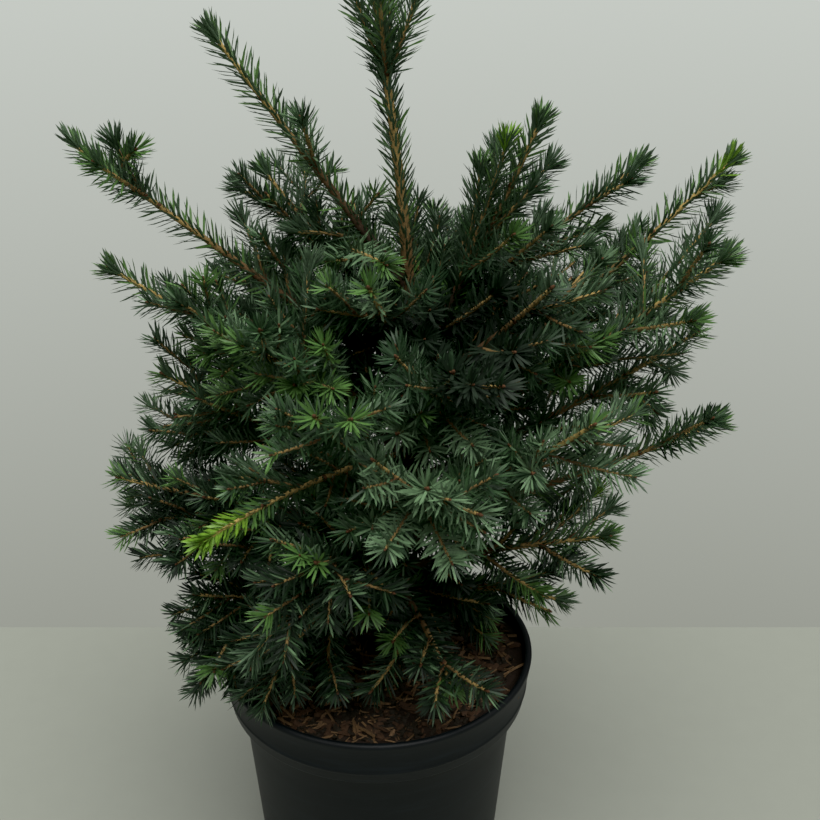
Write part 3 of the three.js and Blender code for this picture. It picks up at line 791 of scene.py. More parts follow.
# How many stand on a shoot, and in the tuft round its bud
FEWEST_NEEDLES = 6
TWIG_NEEDLES = 1.25
LEADER_NEEDLES = 1.25
FEWEST_IN_TUFT = 4
TUFT_LENGTH = 0.006
CLOSED_TUFT = 2.2
FINE_TUFT = 0.8

# How they turn, in radians, and lean, in degrees, and how their size changes
TURN_SCATTER = 0.12
LEAN_SCATTER = 5
LEADER_LEAN = 42
LEADER_CLOSED = 0.4
STEEP_LEAN = 45
STEEP_FROM = 0.68
GOLDEN_LEAN = 16
CLOSED_LEAN = 38
CLOSED_YOUNG = 0.25
CLOSED_ZONE = 0.016
UPPER_SIDE_LEAN = 12
TOP_OWN = 0.7
TOP_UP = 1.2
TOP_SCATTER = 0.35
TIP_LENGTH = 0.84
FOOT_LENGTH = 0.8
FOOT_ZONE = 0.01
GOLDEN_LENGTH = 0.84
FINE_LENGTH = 0.9
TWIG_WIDTH = 0.82
INNER_WIDTH = 1.35
CROWN_MARGIN = 0.0015
CLEARING_PROBES = (0.4, 1.0)

# How tints are dealt: shares of needles, young shares of shoots, and places in metres where the deep and
# inner tints are painted shade
STRAY_TINTS = ((0.16, "pale"), (0.45, "green"), (0.65, "deep"))
SPRAY_YOUNG = {"green": 0.35, "deep": 0.2, "pale": 0.2}
LIME_YOUNG = 0.66
LEADER_YOUNG = 0.6
GOLDEN_YOUNG = 1
BRIGHT_YOUNG = 0.5
BRIGHT_SHARE = 0.55
OUTER_YOUNG = 0.3
OUTER_FRESH = (0.15, 0.88)
FRESH_REACH = 0.05
FRESH_SCATTER = (0.5, 1.2)
PALE_SHARE = 0.10
DEEP_SHARE = 0.28
WAXY_DEEP = 0.12
# Painted shade low in the crown: most needles there are dealt deep, and those past LOW_INNER inner
LOW_GREEN = 0.22
LOW_INNER = 0.4
LOW_CROWN = 0.245
LOW_FRONT = np.array((0.045, -0.01, 0.285))
UPPER_CROWN = 0.36
# Painted shade round the hollow, deep within HOLLOW_SHADE and inner within HOLLOW_DARK, and inner in a
# column round the trunk below INNER_TOP
HOLLOW_SHADE = 0.045
HOLLOW_DARK = 0.030
INNER_MIDDLE = (0.018, 0.0)
INNER_RADIUS = 0.045
INNER_TOP = 0.385
ON_BOUGH_FROM = 0.3
ON_BOUGH_SHARE = 0.7


def needle_form():
    """Places of a needle's corners, triangles and their kinds, 0 for the top and 1 for the underside.

    A place is a share of the length, then shares of half the width sideways and upwards.
    """
    places = [(0, 0, 0)]
    for share, width in NEEDLE_RINGS:
        places += [(share, -width, 0), (share, width, 0), (share, 0, -width * NEEDLE_KEEL)]
    places.append((1, 0, 0))
    faces = [(0, 2, 1), (0, 1, 3), (0, 3, 2)]
    kinds = [0, 1, 1]
    for ring in range(len(NEEDLE_RINGS) - 1):
        left, right, keel = (1 + 3 * ring + corner for corner in range(3))
        for start, end, kind in ((right, left, 0), (left, keel, 1), (keel, right, 1)):
            faces += [(start, start + 3, end + 3), (start, end + 3, end)]
            kinds += [kind, kind]
    tip = len(places) - 1
    left, right, keel = tip - 3, tip - 2, tip - 1
    faces += [(right, tip, left), (left, tip, keel), (keel, tip, right)]
    kinds += [0, 1, 1]
    return np.array(places, float), np.array(faces), np.array(kinds)


class Needles(NamedTuple):
    """Arrays of needles: root, direction, the way the top faces, length, width and bend."""

    roots: np.ndarray
    ways: np.ndarray
    tops: np.ndarray
    lengths: np.ndarray
    widths: np.ndarray
    bends: np.ndarray


def needle_arrays(needles):
    """Places, triangles and kinds of all the needles of one piece."""
    form, form_faces, form_kinds = needle_form()
    tops = units(needles.tops - needles.ways * (needles.tops * needles.ways).sum(1, keepdims=True))
    sides = np.cross(needles.ways, tops)
    share, wide, thick = form.T
    lengths = needles.lengths[:, None, None]
    half = needles.widths[:, None] / 2
    places = needles.roots[:, None] + needles.ways[:, None] * share[:, None] * lengths
    places = places + sides[:, None] * (wide * half)[..., None]
    rise = thick * half + needles.bends[:, None] * needles.lengths[:, None] * share[None] ** 2
    places = places + tops[:, None] * rise[..., None]
    count = len(needles.roots)
    faces = form_faces[None] + (np.arange(count) * len(form))[:, None, None]
    return places.reshape(-1, 3), faces.reshape(-1, 3), np.tile(form_kinds, count)


def needle_shares(shoot, settings, closed, rng):
    """Where needles stand on a shoot, as shares of its way: along it, and in a tuft round its bud."""
    length = shoot.length()
    many = LEADER_NEEDLES if shoot.owner == "leader_0" else TWIG_NEEDLES if shoot.order else 1
    count = max(int(length * settings.needles_per_metre * many), FEWEST_NEEDLES)
    along = (np.arange(count) + rng.uniform(0, 1, count)) / count
    size = CLOSED_TUFT if closed else 1 if shoot.order < 2 else FINE_TUFT
    tuft = max(int(settings.tuft_needles * size), FEWEST_IN_TUFT)
    return np.sort(np.concatenate((along, 1 - rng.uniform(0, TUFT_LENGTH / length, tuft))))


def needles_on(shoot, settings, rng):
    """Needles of one shoot, and each one's share of the way to its tip."""
    length = shoot.length()
    young = shoot.bough.young if shoot.bough else LEADER_CLOSED
    golden = young > GOLDEN_YOUNG
    closed = shoot.order < 2 and young >= CLOSED_YOUNG
    shares = needle_shares(shoot, settings, closed, rng)
    total = len(shares)
    points, along, across, over = frames_on(shoot.curve, mix(shoot.start, 1, shares))
    turn = rng.uniform(0, 2 * np.pi) + GOLDEN_TURN * np.arange(total) + rng.normal(0, TURN_SCATTER, total)
    level = 1 - np.abs(along[:, 2])
    turn = turn - settings.parting * level * np.sin(2 * turn)
    outwards = across * np.cos(turn)[:, None] + over * np.sin(turn)[:, None]
    zone = settings.tip_zone + (CLOSED_ZONE * young if closed else 0)
    closing = np.clip((1 - shares) * length / zone, 0, 1)
    steep = np.clip(along[:, 2] - STEEP_FROM, 0, 1)
    most_lean = settings.lean - STEEP_LEAN * steep - GOLDEN_LEAN * golden
    if shoot.owner == "leader_0":
        most_lean = LEADER_LEAN
    least_lean = CLOSED_LEAN if closed else settings.lean_tip
    lean = np.radians(mix(least_lean, most_lean, closing) + rng.normal(0, LEAN_SCATTER, total))
    lean = lean - np.radians(UPPER_SIDE_LEAN) * level * np.clip(np.sin(turn), 0, 1)
    ways = units(along * np.cos(lean)[:, None] + outwards * np.sin(lean)[:, None])
    tops = along * np.sin(lean)[:, None] - outwards * np.cos(lean)[:, None]
    tops = tops * TOP_OWN + over * (level * TOP_UP)[:, None] + rng.normal(0, TOP_SCATTER, (total, 3))
    lengths = settings.needle_length * rng.uniform(*NEEDLE_LENGTHS, total)
    lengths = lengths * (1 if shoot.order < 2 else FINE_LENGTH)
    from_foot = np.clip(shares * length / FOOT_ZONE, 0, 1)
    lengths *= mix(TIP_LENGTH, 1.0, closing) * mix(FOOT_LENGTH, 1.0, from_foot)
    lengths *= GOLDEN_LENGTH if golden else 1
    widths = np.full(total, settings.needle_width * (TWIG_WIDTH if shoot.order else 1))
    bends = rng.normal(*NEEDLE_BENDS, total)
    return Needles(points, ways, tops, lengths, widths, bends), shares


def chosen(needles, mask):
    return Needles(*(values[mask] for values in needles))


def inside_crown(needles):
    """Whether each tip is inside the solids' box, a little off its faces."""
    tips = needles.roots + needles.ways * needles.lengths[:, None]
    return np.all((tips > CROWN_LOW + CROWN_MARGIN) & (tips < CROWN_HIGH - CROWN_MARGIN), axis=1)


def distances(points, line):
    """How far points are from a straight line between two ends."""
    start, way = line[0], line[1] - line[0]
    share = np.clip((points - start) @ way / (way @ way), 0, 1)
    return np.linalg.norm(points - start - share[:, None] * way, axis=1)


def in_clearing(needles, shoot):
    """Whether each needle reaches into a gap that stays free, but for those of a crossing shoot."""
    inside = np.zeros(len(needles.roots), bool)
    for line, radius in () if shoot.crosses else openings_for(shoot):
        for share in CLEARING_PROBES:
            points = needles.roots + needles.ways * needles.lengths[:, None] * share
            inside |= distances(points, line) < radius
    return inside


def is_waxy(shoot):
    return shoot.order == 0 and shoot.bough is not None and shoot.bough.tint == "pale"


def spray_look(shoot, luck):
    """A shoot's tint and young share: its own, or its limb's with a stray tint now and then."""
    if shoot.tint:
        return ("green", LIME_YOUNG) if shoot.tint == "young" else (shoot.tint, SPRAY_YOUNG[shoot.tint])
    bough = shoot.bough
    tint, young = (bough.tint, bough.young) if bough else ("green", LEADER_YOUNG if shoot.order < 2 else 0)
    if is_waxy(shoot):
        return tint, young
    return next((stray for most, stray in STRAY_TINTS if luck < most), tint), young


def needle_tints(shoot, needles, shares, rng):
    """Each needle's place in TINTS, and which of them lie inside the crown. The deep and inner tints dealt
    low in the crown, round the hollow and inside the crown are painted shade.
    """
    tint, young = spray_look(shoot, rng.uniform(0, 1))
    lime = shoot.tint == "young"
    if shoot.order > 0 and shoot.bough and not lime:
        upper = shoot.curve.points[2][2] > UPPER_CROWN
        young *= rng.choice(4) > (1 if upper else 2)
    tip = np.clip(1 - shares, 0, 1) * shoot.length()
    fresh = tip < young * FRESH_REACH * rng.uniform(*FRESH_SCATTER, len(shares))
    lot = rng.uniform(0, 1, len(shares))
    bright = fresh & (tip < (young - BRIGHT_YOUNG) * FRESH_REACH) & (shoot.order == 0 or lime)
    bright = bright & ((lot < BRIGHT_SHARE) | (young > GOLDEN_YOUNG))
    low = (needles.roots[:, 2] < LOW_CROWN) | np.all(needles.roots < LOW_FRONT, axis=1)
    hollow = distances(needles.roots, HOLLOW)
    middle = np.linalg.norm(needles.roots[:, :2] - INNER_MIDDLE, axis=1)
    inner = (middle < INNER_RADIUS) & (needles.roots[:, 2] < INNER_TOP) | (hollow < HOLLOW_DARK)
    outer = shoot.order == 0 and OUTER_YOUNG <= young <= GOLDEN_YOUNG
    fresh = fresh & ~inner & (hollow > HOLLOW_SHADE)
    fresh = fresh | (outer & (lot > OUTER_FRESH[0]) & (lot < OUTER_FRESH[1]))
    tints = np.full(len(shares), TINTS.index(tint))
    # Painted shade: deep and inner by place, low in the crown, round the hollow and inside it, with no fresh
    # needles there
    for name, mask in (
        ("deep", (lot > LOW_GREEN) & low),
        ("pale", lot < PALE_SHARE),
        ("deep", lot > 1 - (WAXY_DEEP if is_waxy(shoot) else DEEP_SHARE)),
        ("inner", (lot > LOW_INNER) & low),
        ("deep", hollow < HOLLOW_SHADE),
        ("inner", inner),
        ("fresh", fresh),
        ("young", bright),
    ):
        tints[mask] = TINTS.index(name)
    return tints, inner


def deal_needles(settings):
    """Every needle of the crown, dealt by spray to a tint."""
    rng = np.random.default_rng(NEEDLE_SEED)
    dealt = {name: [] for name in TINTS}
    stems, twigs, fine = grow_tree()
    for shoot in [*stems, *twigs, *fine]:
        needles, shares = needles_on(shoot, settings, rng)
        kept = inside_crown(needles) & ~in_clearing(needles, shoot)
        needles = chosen(needles, kept)
        tints, inner = needle_tints(shoot, needles, shares[kept], rng)
        needles.widths[inner] *= INNER_WIDTH
        for place, name in enumerate(TINTS):
            dealt[name].append(chosen(needles, tints == place))
    for stem, bough in zip(stems, BOUGHS):
        if bough.bare > 0:
            needles, shares = needles_on(Shoot(stem.curve, 0, "", None, None, stem.mass, 0), settings, rng)
            on_bough = (shares > ON_BOUGH_FROM * bough.bare) & (shares < bough.bare)
            on_bough &= rng.uniform(0, 1, len(shares)) < ON_BOUGH_SHARE
            tint = "green" if bough.young > GOLDEN_YOUNG else "deep"
            dealt[tint].append(chosen(needles, on_bough))
    return {name: Needles(*map(np.concatenate, zip(*rows))) for name, rows in dealt.items()}


# Materials

SCUFF_STRETCH = (30, 30, 260)
DUST_GAIN = 2.6


def new_material(name, roughness, specular):
    """A material with one Principled BSDF, and its node tree."""
    material = bpy.data.materials.new(name)
    material.use_nodes = True
    tree = material.node_tree
    shader = tree.nodes["Principled BSDF"]
    shader.inputs["Roughness"].default_value = roughness
    shader.inputs["Specular IOR Level"].default_value = specular
    return material, tree, shader


def feed(tree, socket, value):
    """Links an input to another node's socket, or sets it to a value."""
    if isinstance(value, bpy.types.NodeSocket):
        tree.links.new(value, socket)
    elif value is not None:
        socket.default_value = value


def node(tree, kind, *feeds, **settings):
    """Adds a node, with its properties and inputs by name, and feeds to its first inputs in order."""
    made = tree.nodes.new(kind)
    for name, value in settings.items():
        if hasattr(made, name):
            setattr(made, name, value)
        else:
            feed(tree, made.inputs[name.replace("_", " ")], value)
    for socket, value in zip(made.inputs, feeds):
        feed(tree, socket, value)
    return made


def maths(tree, operation, *feeds):
    return node(tree, "ShaderNodeMath", *feeds, operation=operation).outputs[0]


def colour_ramp(tree, factor, *stops):
    """Socket of a ramp through colours, each at its place."""
    ramp = node(tree, "ShaderNodeValToRGB", factor)
    elements = ramp.color_ramp.elements
    for element, (place, colour) in ((elements[0], stops[0]), (elements[1], stops[-1])):
        element.position = place
        element.color = (*colour, 1)
    for place, colour in stops[1:-1]:
        elements.new(place).color = (*colour, 1)
    return ramp.outputs["Color"]


def shade_group():
    """Node group: a colour varied in patches and in fine grain, and the grain itself as a height."""
    group = bpy.data.node_groups.get("patchy_shade")
    if group:
        return group
    group = bpy.data.node_groups.new("patchy_shade", "ShaderNodeTree")
    face = group.interface
    face.new_socket("Colour", in_out="INPUT", socket_type="NodeSocketColor")
    for name in ("Patch scale", "Grain scale", "Amount"):
        face.new_socket(name, in_out="INPUT", socket_type="NodeSocketFloat")
    face.new_socket("Colour", in_out="OUTPUT", socket_type="NodeSocketColor")
    face.new_socket("Grain", in_out="OUTPUT", socket_type="NodeSocketFloat")
    entry = node(group, "NodeGroupInput").outputs
    where = node(group, "ShaderNodeTexCoord").outputs["Object"]
    patches, grain = (
        node(group, "ShaderNodeTexNoise", Vector=where, Scale=entry[scale], Detail=detail).outputs["Fac"]
        for scale, detail in (("Patch scale", 2.0), ("Grain scale", 4.0)))
    centred = maths(group, "SUBTRACT", maths(group, "ADD", patches, grain), 1.0)
    gain = maths(group, "MULTIPLY_ADD", centred, entry["Amount"], 1.0)
    shade = node(group, "ShaderNodeHueSaturation", Color=entry["Colour"], Value=gain)
    node(group, "NodeGroupOutput", shade.outputs["Color"], grain)
    return group


def shaded(tree, shader, colour, patch_scale, grain_scale, amount, bump=0.0, distance=0.0):
    """Feeds a shader from the patchy shade group. colour is a value or a socket."""
    if not isinstance(colour, bpy.types.NodeSocket):
        colour = (*colour, 1)
    group = node(tree, "ShaderNodeGroup", node_tree=shade_group(), Colour=colour,
                 Patch_scale=patch_scale, Grain_scale=grain_scale, Amount=amount)
    feed(tree, shader.inputs["Base Color"], group.outputs["Colour"])
    if bump:
        grain = group.outputs["Grain"]
        relief = node(tree, "ShaderNodeBump", Strength=bump, Distance=distance, Height=grain)
        feed(tree, shader.inputs["Normal"], relief.outputs["Normal"])


def needle_material(name, colour, roughness):
    material, tree, shader = new_material(name, roughness, specular=0.4)
    shaded(tree, shader, colour, patch_scale=90, grain_scale=900, amount=0.9)
    return material


def bark_material(settings):
    """Wood from grey-brown bark to tan young wood, by the piece's age value, which on limbs tinted deep is
    lowered as painted shade.
    """
    material, tree, shader = new_material("spruce_bark", roughness=0.85, specular=0.25)
    age = node(tree, "ShaderNodeAttribute", attribute_name="age")
    colour = colour_ramp(tree, age.outputs["Fac"], (0, settings.bark_colour), (0.45, settings.twig_colour),
                         (1, settings.young_wood_colour))
    shaded(tree, shader, colour, patch_scale=120, grain_scale=900, amount=1.1, bump=0.6, distance=0.0004)
    return material


def pot_material(settings):
    """Matt black plastic with a fine grain, faint scuffs and dust."""
    material, tree, shader = new_material("pot_plastic", settings.pot_roughness, specular=0.25)
    where = node(tree, "ShaderNodeTexCoord").outputs["Object"]
    stretch = node(tree, "ShaderNodeMapping", Vector=where, Scale=SCUFF_STRETCH)
    scuffs = node(tree, "ShaderNodeTexNoise", Vector=stretch.outputs["Vector"], Scale=1.0, Detail=5.0)
    dusty = [value * DUST_GAIN for value in settings.pot_colour]
    colour = colour_ramp(tree, scuffs.outputs["Fac"], (0.52, settings.pot_colour), (0.85, dusty))
    shaded(tree, shader, colour, patch_scale=25, grain_scale=1400, amount=0.35, bump=0.12, distance=0.0002)
    return material


def mulch_material(name, colour, amount=1.4):
    material, tree, shader = new_material(name, roughness=0.8, specular=0.3)
    shaded(tree, shader, colour, patch_scale=60, grain_scale=700, amount=amount, bump=0.7, distance=0.0005)
    return material


# Sizes and colours that a user would change

def colour_setting(name, description, default):
    return bpy.props.FloatVectorProperty(
        name=name, description=description, subtype="COLOR", size=3, min=0, max=1, default=default)


def length_setting(name, description, default):
    return bpy.props.FloatProperty(name=name, description=description, unit="LENGTH", default=default)


def number_setting(name, description, default):
    return bpy.props.FloatProperty(name=name, description=description, default=default)


def count_setting(name, description, default):
    return bpy.props.IntProperty(name=name, description=description, default=default)


class SpruceFoliageSettings(bpy.types.PropertyGroup):
    """Sizes and colours of the needles."""

    needle_length: length_setting("Needle length", "Length of a full needle", 0.0152)
    needle_width: length_setting("Needle width", "Width across a flat needle", 0.0014)
    needles_per_metre: number_setting("Needles per metre", "How close they stand along a shoot", 1850)
    tuft_needles: count_setting("Tuft needles", "Needles that close round the bud at a shoot's tip", 16)
    tip_zone: length_setting("Tip zone", "Length before the tip over which needles close in", 0.012)
    lean: number_setting("Lean", "Degrees that a needle stands off its shoot", 60)
    lean_tip: number_setting("Lean at the tip", "Degrees that a needle stands off at the tip", 48)
    parting: number_setting("Parting", "How far needles draw to the sides of a level shoot", 0.16)
    deep_colour: colour_setting("Deep green", "Upper face of shaded needles", (0.019, 0.048, 0.018))
    green_colour: colour_setting("Green", "Upper face of common needles", (0.037, 0.086, 0.031))
    pale_colour: colour_setting("Pale green", "Upper face of waxy needles", (0.122, 0.212, 0.106))
    fresh_colour: colour_setting("Fresh green", "Upper face of this year's needles", (0.082, 0.180, 0.042))
    young_colour: colour_setting("Young green", "Upper face of needles at the tips", (0.168, 0.325, 0.033))
    # Inner green is painted shade: a darker green for needles inside the crown and round its hollow
    inner_colour: colour_setting("Inner green", "Old needles inside the crown", (0.009, 0.021, 0.009))
    underside_colour: colour_setting("Underside", "Pale bands under a needle", (0.085, 0.145, 0.078))


class SpruceWoodSettings(bpy.types.PropertyGroup):
    """Sizes and colours of the trunk, boughs and twigs."""

    relief: number_setting("Bark relief", "Depth of the bark's plates as a share of the radius", 0.16)
    bark_colour: colour_setting("Bark", "Old bark", (0.045, 0.027, 0.017))
    twig_colour: colour_setting("Twig", "Bark of last year's twigs", (0.160, 0.092, 0.038))
    young_wood_colour: colour_setting("Young wood", "Bark of this year's shoots", (0.480, 0.335, 0.115))
    bud_colour: colour_setting("Buds", "Scales of buds", (0.110, 0.048, 0.020))


class SprucePotSettings(bpy.types.PropertyGroup):
    """Sizes and colours of the pot and its mulch."""

    pot_colour: colour_setting("Pot", "Black plastic", (0.0028, 0.0044, 0.0058))
    pot_roughness: number_setting("Roughness", "Roughness of the plastic", 0.5)
    wall: length_setting("Wall", "Thickness of the pot's wall", 0.0016)
    chips: count_setting("Chips", "Pieces of dark bark on the soil", 900)
    seed: count_setting("Seed", "Seed of the mulch", 7)
    soil_colour: colour_setting("Soil", "Peat between the chips", (0.018, 0.010, 0.006))
    dark_chip_colour: colour_setting("Dark chips", "Old bark chips", (0.021, 0.015, 0.009))
    red_chip_colour: colour_setting("Red chips", "Fresh bark chips", (0.060, 0.031, 0.016))
    pale_chip_colour: colour_setting("Pale chips", "Split wood", (0.170, 0.100, 0.050))
    straw_colour: colour_setting("Straw", "Straws and dry needles", (0.150, 0.088, 0.040))


class SpruceStageSettings(bpy.types.PropertyGroup):
    """Camera, floor and lights."""

    floor_colour: colour_setting("Floor", "Plain pale floor", (0.285, 0.300, 0.262))
    table_edge: length_setting("Table edge", "Where the floor ends behind the pot", 0.232)
    lens: number_setting("Lens", "Focal length in millimetres", 48.29)
    tilt: number_setting("Tilt", "Degrees that the camera looks down", 24.3)
    dome: number_setting("Dome light", "Light from all round", 0.50)
    overhead: number_setting("Overhead light", "Strength of the light overhead", 2.9)


# Operators, one for each group of pieces

def finish_piece(piece, slot, *nodes):
    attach(piece, "root")
    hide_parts(*nodes)


class SPRUCE_OT_pot(bpy.types.Operator):
    """Builds the turned plastic pot"""

    bl_idname = "spruce.pot"
    bl_label = "Pot"

    def execute(self, context):
        settings = context.scene.spruce_pot
        outline = pot_outline(settings.wall)
        piece = turned_piece("nursery_pot", outline, POT_SEGMENTS, pot_material(settings))
        finish_piece(piece, "pot", "pot")
        return {"FINISHED"}


POT_SEGMENTS = 128
FOOT_STEPS = 4
WALL_STEPS = 8
LIP_ARC_STEPS = 10
LIP_HEIGHT = 0.004
LIP_RADIUS = 0.0022
LIP_START = 0.12
LIP_INSET = 0.0012
COLLAR_RADIUS = 0.0915
COLLAR_FOOT = 0.127
WALL_TOP_RADIUS = 0.084
WALL_TOP = 0.120
BASE_RADIUS = 0.075
BASE_ROUND = 0.0015
FLOOR_THICKNESS = 0.0024
INNER_RISE = 0.001
BEAD = 0.0007
BEAD_HEIGHT = 0.1335
BEAD_STEPS = 3
BEAD_STEP = 0.0005
FLAT_NORMAL = 0.98
DRAIN_HOLES = 8
DRAIN_RADIUS = 0.005
DRAIN_CIRCLE = 0.056
DRAIN_SIDES = 20


def pot_outline(wall):
    """Radius and height points of the pot's wall, from the outer foot over the lip to the inner floor."""
    points = []
    foot = BASE_RADIUS - BASE_ROUND
    for step in range(FOOT_STEPS + 1):
        turn = math.pi / 2 * step / FOOT_STEPS
        points.append((foot + BASE_ROUND * math.sin(turn), BASE_ROUND - BASE_ROUND * math.cos(turn)))
    shares = [step / WALL_STEPS for step in range(1, WALL_STEPS + 1)]
    for share in shares:
        points.append((mix(BASE_RADIUS, WALL_TOP_RADIUS, share), mix(BASE_ROUND, WALL_TOP, share)))
    for share in shares:
        ease = share * share * (3 - 2 * share)
        points.append((mix(WALL_TOP_RADIUS, COLLAR_RADIUS, ease), mix(WALL_TOP, COLLAR_FOOT, share)))
    slope = (RIM_RADIUS - LIP_INSET - COLLAR_RADIUS) / (POT_HEIGHT - LIP_HEIGHT - COLLAR_FOOT)
    for step in range(-BEAD_STEPS, BEAD_STEPS + 1):
        height = BEAD_HEIGHT + BEAD_STEP * step
        swell = BEAD * math.cos(math.pi / 2 * step / BEAD_STEPS)
        points.append((COLLAR_RADIUS + slope * (height - COLLAR_FOOT) + swell, height))
    centre, middle = RIM_RADIUS - LIP_RADIUS, POT_HEIGHT - LIP_RADIUS
    for step in range(LIP_ARC_STEPS + 1):
        turn = math.pi * (step / LIP_ARC_STEPS) - math.pi * LIP_START
        points.append((centre + LIP_RADIUS * math.cos(turn), middle + LIP_RADIUS * math.sin(turn)))
    return [
        *points,
        (COLLAR_RADIUS - wall, COLLAR_FOOT + INNER_RISE),
        (WALL_TOP_RADIUS - wall, WALL_TOP + INNER_RISE),
        (BASE_RADIUS - wall, FLOOR_THICKNESS),
    ]


def turned_piece(name, outline, segments, material):
    """A pot wall turned round Z, with a floor that has drain holes."""
    turns = 2 * np.pi * np.arange(segments) / segments
    radius, height = np.array(outline).T
    places = np.stack((np.outer(radius, np.cos(turns)), np.outer(radius, np.sin(turns)),
                       np.repeat(height[:, None], segments, 1)), -1).reshape(-1, 3)
    a, b = cells(len(outline) - 1, segments)
    walls = np.stack((a, b, b + segments, a + segments), 1)
    piece = mesh_piece(name, places, walls, [material])
    add_drained_floor(piece, segments, (len(outline) - 1) * segments)
    for polygon in piece.data.polygons:
        polygon.use_smooth = abs(polygon.normal.z) < FLAT_NORMAL
    return piece


def pairs_round(ring):
    return list(zip(ring, [*ring[1:], ring[0]]))


def drain_hole(shape, hole, height):
    """Corners of one drain hole at a height."""
    way = level_way(2 * math.pi * hole / DRAIN_HOLES) * DRAIN_CIRCLE
    centre = Vector((way[0], way[1], height))
    turns = [2 * math.pi * side / DRAIN_SIDES for side in range(DRAIN_SIDES)]
    return [shape.verts.new(centre + Vector(level_way(turn)) * DRAIN_RADIUS) for turn in turns]


def add_drained_floor(piece, segments, inner_ring):
    """Closes the pot with a lower and an upper floor round the drain holes, and gives the holes walls."""
    shape = bmesh.new()
    shape.from_mesh(piece.data)
    floors = []
    for start, facing in ((0, -1), (inner_ring, 1)):
        shape.verts.ensure_lookup_table()
        around = [shape.verts[start + side] for side in range(segments)]
        holes = [drain_hole(shape, hole, around[0].co.z) for hole in range(DRAIN_HOLES)]
        edges = [shape.edges.get(pair) for pair in pairs_round(around)]
        edges += [shape.edges.new(pair) for hole in holes for pair in pairs_round(hole)]
        bmesh.ops.triangle_fill(shape, use_beauty=True, use_dissolve=False, edges=edges,
                                normal=Vector((0, 0, facing)))
        floors.append(holes)
    for low_hole, high_hole in zip(*floors):
        for low, high in zip(pairs_round(low_hole), pairs_round(high_hole)):
            shape.faces.new((*low, *reversed(high)))
    bmesh.ops.recalc_face_normals(shape, faces=shape.faces)
    shape.to_mesh(piece.data)
    shape.free()


# Mulch

SOIL_EDGE = 0.146
SOIL_TOP = 0.150
SOIL_RADIUS = 0.0905
SOIL_DEPTH = 0.020
SOIL_INSET = 0.002
SOIL_FALL = 1.5
BED_RINGS = 60
BED_SEGMENTS = 120
BED_START = 0.004
BED_RELIEF = 0.0018
BED_LUMPS = 70
BED_CRUMBS = 330
BED_CRUMB_SHARE = 0.6
BED_CALM = 1.6
SCATTER_RADIUS = 0.083
CHIP_STEPS = 5
CHIP_SIDES = 6
CHIP_WANDER = 0.12
CHIP_WARP = 0.3
CHIP_FULL = 1.1
CHIP_TAPER = 0.75
CHIP_RELIEF = (0.75, 1.2)
STRAW_STEPS = 5
STRAW_SIDES = 4
STRAW_BENDS = (0.12, -0.1)


class Mulch(NamedTuple):
    """One kind of mulch: its colour setting, its number as a share of the chips, and its form.

    spread is that of sizes, tilt is in radians, and straws have no thickness of their own.
    """

    name: str
    colour: str
    share: float
    spread: float
    tilt: float
    length: float
    width: float
    thickness: float = 0
    seed: int = 0


MULCHES = (
    Mulch("mulch_dark", "dark_chip_colour", 1.0, 0.5, 0.35, 0.0075, 0.0036, 0.0016, 3),
    Mulch("mulch_red", "red_chip_colour", 0.55, 0.6, 0.4, 0.0095, 0.0034, 0.0012, 5),
    Mulch("mulch_pale", "pale_chip_colour", 0.06, 0.5, 0.5, 0.0080, 0.0022, 0.0009, 8),
    Mulch("mulch_straws", "straw_colour", 0.16, 0.6, 0.3, 0.020, 0.0014),
    Mulch("fallen_needles", "straw_colour", 0.5, 0.4, 0.35, 0.012, 0.0010),
)


class SPRUCE_OT_mulch(bpy.types.Operator):
    """Builds the soil with its bark chips, straws and fallen needles"""

    bl_idname = "spruce.mulch"
    bl_label = "Mulch"

    def execute(self, context):
        settings = context.scene.spruce_pot
        bed, field = soil_bed(settings)
        finish_piece(bed, "soil", "soil")
        tree = scatter_tree()
        for place, kind in enumerate(MULCHES):
            form = chip_form(kind) if kind.thickness else straw_form(kind)
            material = mulch_material(kind.name, getattr(settings, kind.colour))
            piece = scattered(kind.name, field, tree, {
                "Form": form, "Material": material, "Count": settings.chips * kind.share,
                "Size spread": kind.spread, "Tilt": kind.tilt, "Seed": settings.seed + place})
            finish_piece(piece, "soil", "soil")
            bpy.data.objects.remove(form)
        bpy.data.objects.remove(field)
        return {"FINISHED"}


def bed_height(radius, bearing):
    share = radius / SOIL_RADIUS
    place = Vector((radius * math.cos(bearing), radius * math.sin(bearing), 0))
    swell = noise.fractal(place * BED_LUMPS, 0.8, 2.0, 3) + BED_CRUMB_SHARE * noise.noise(place * BED_CRUMBS)
    return mix(SOIL_TOP, SOIL_EDGE, share**SOIL_FALL) + BED_RELIEF * swell * min(1, BED_CALM * share)


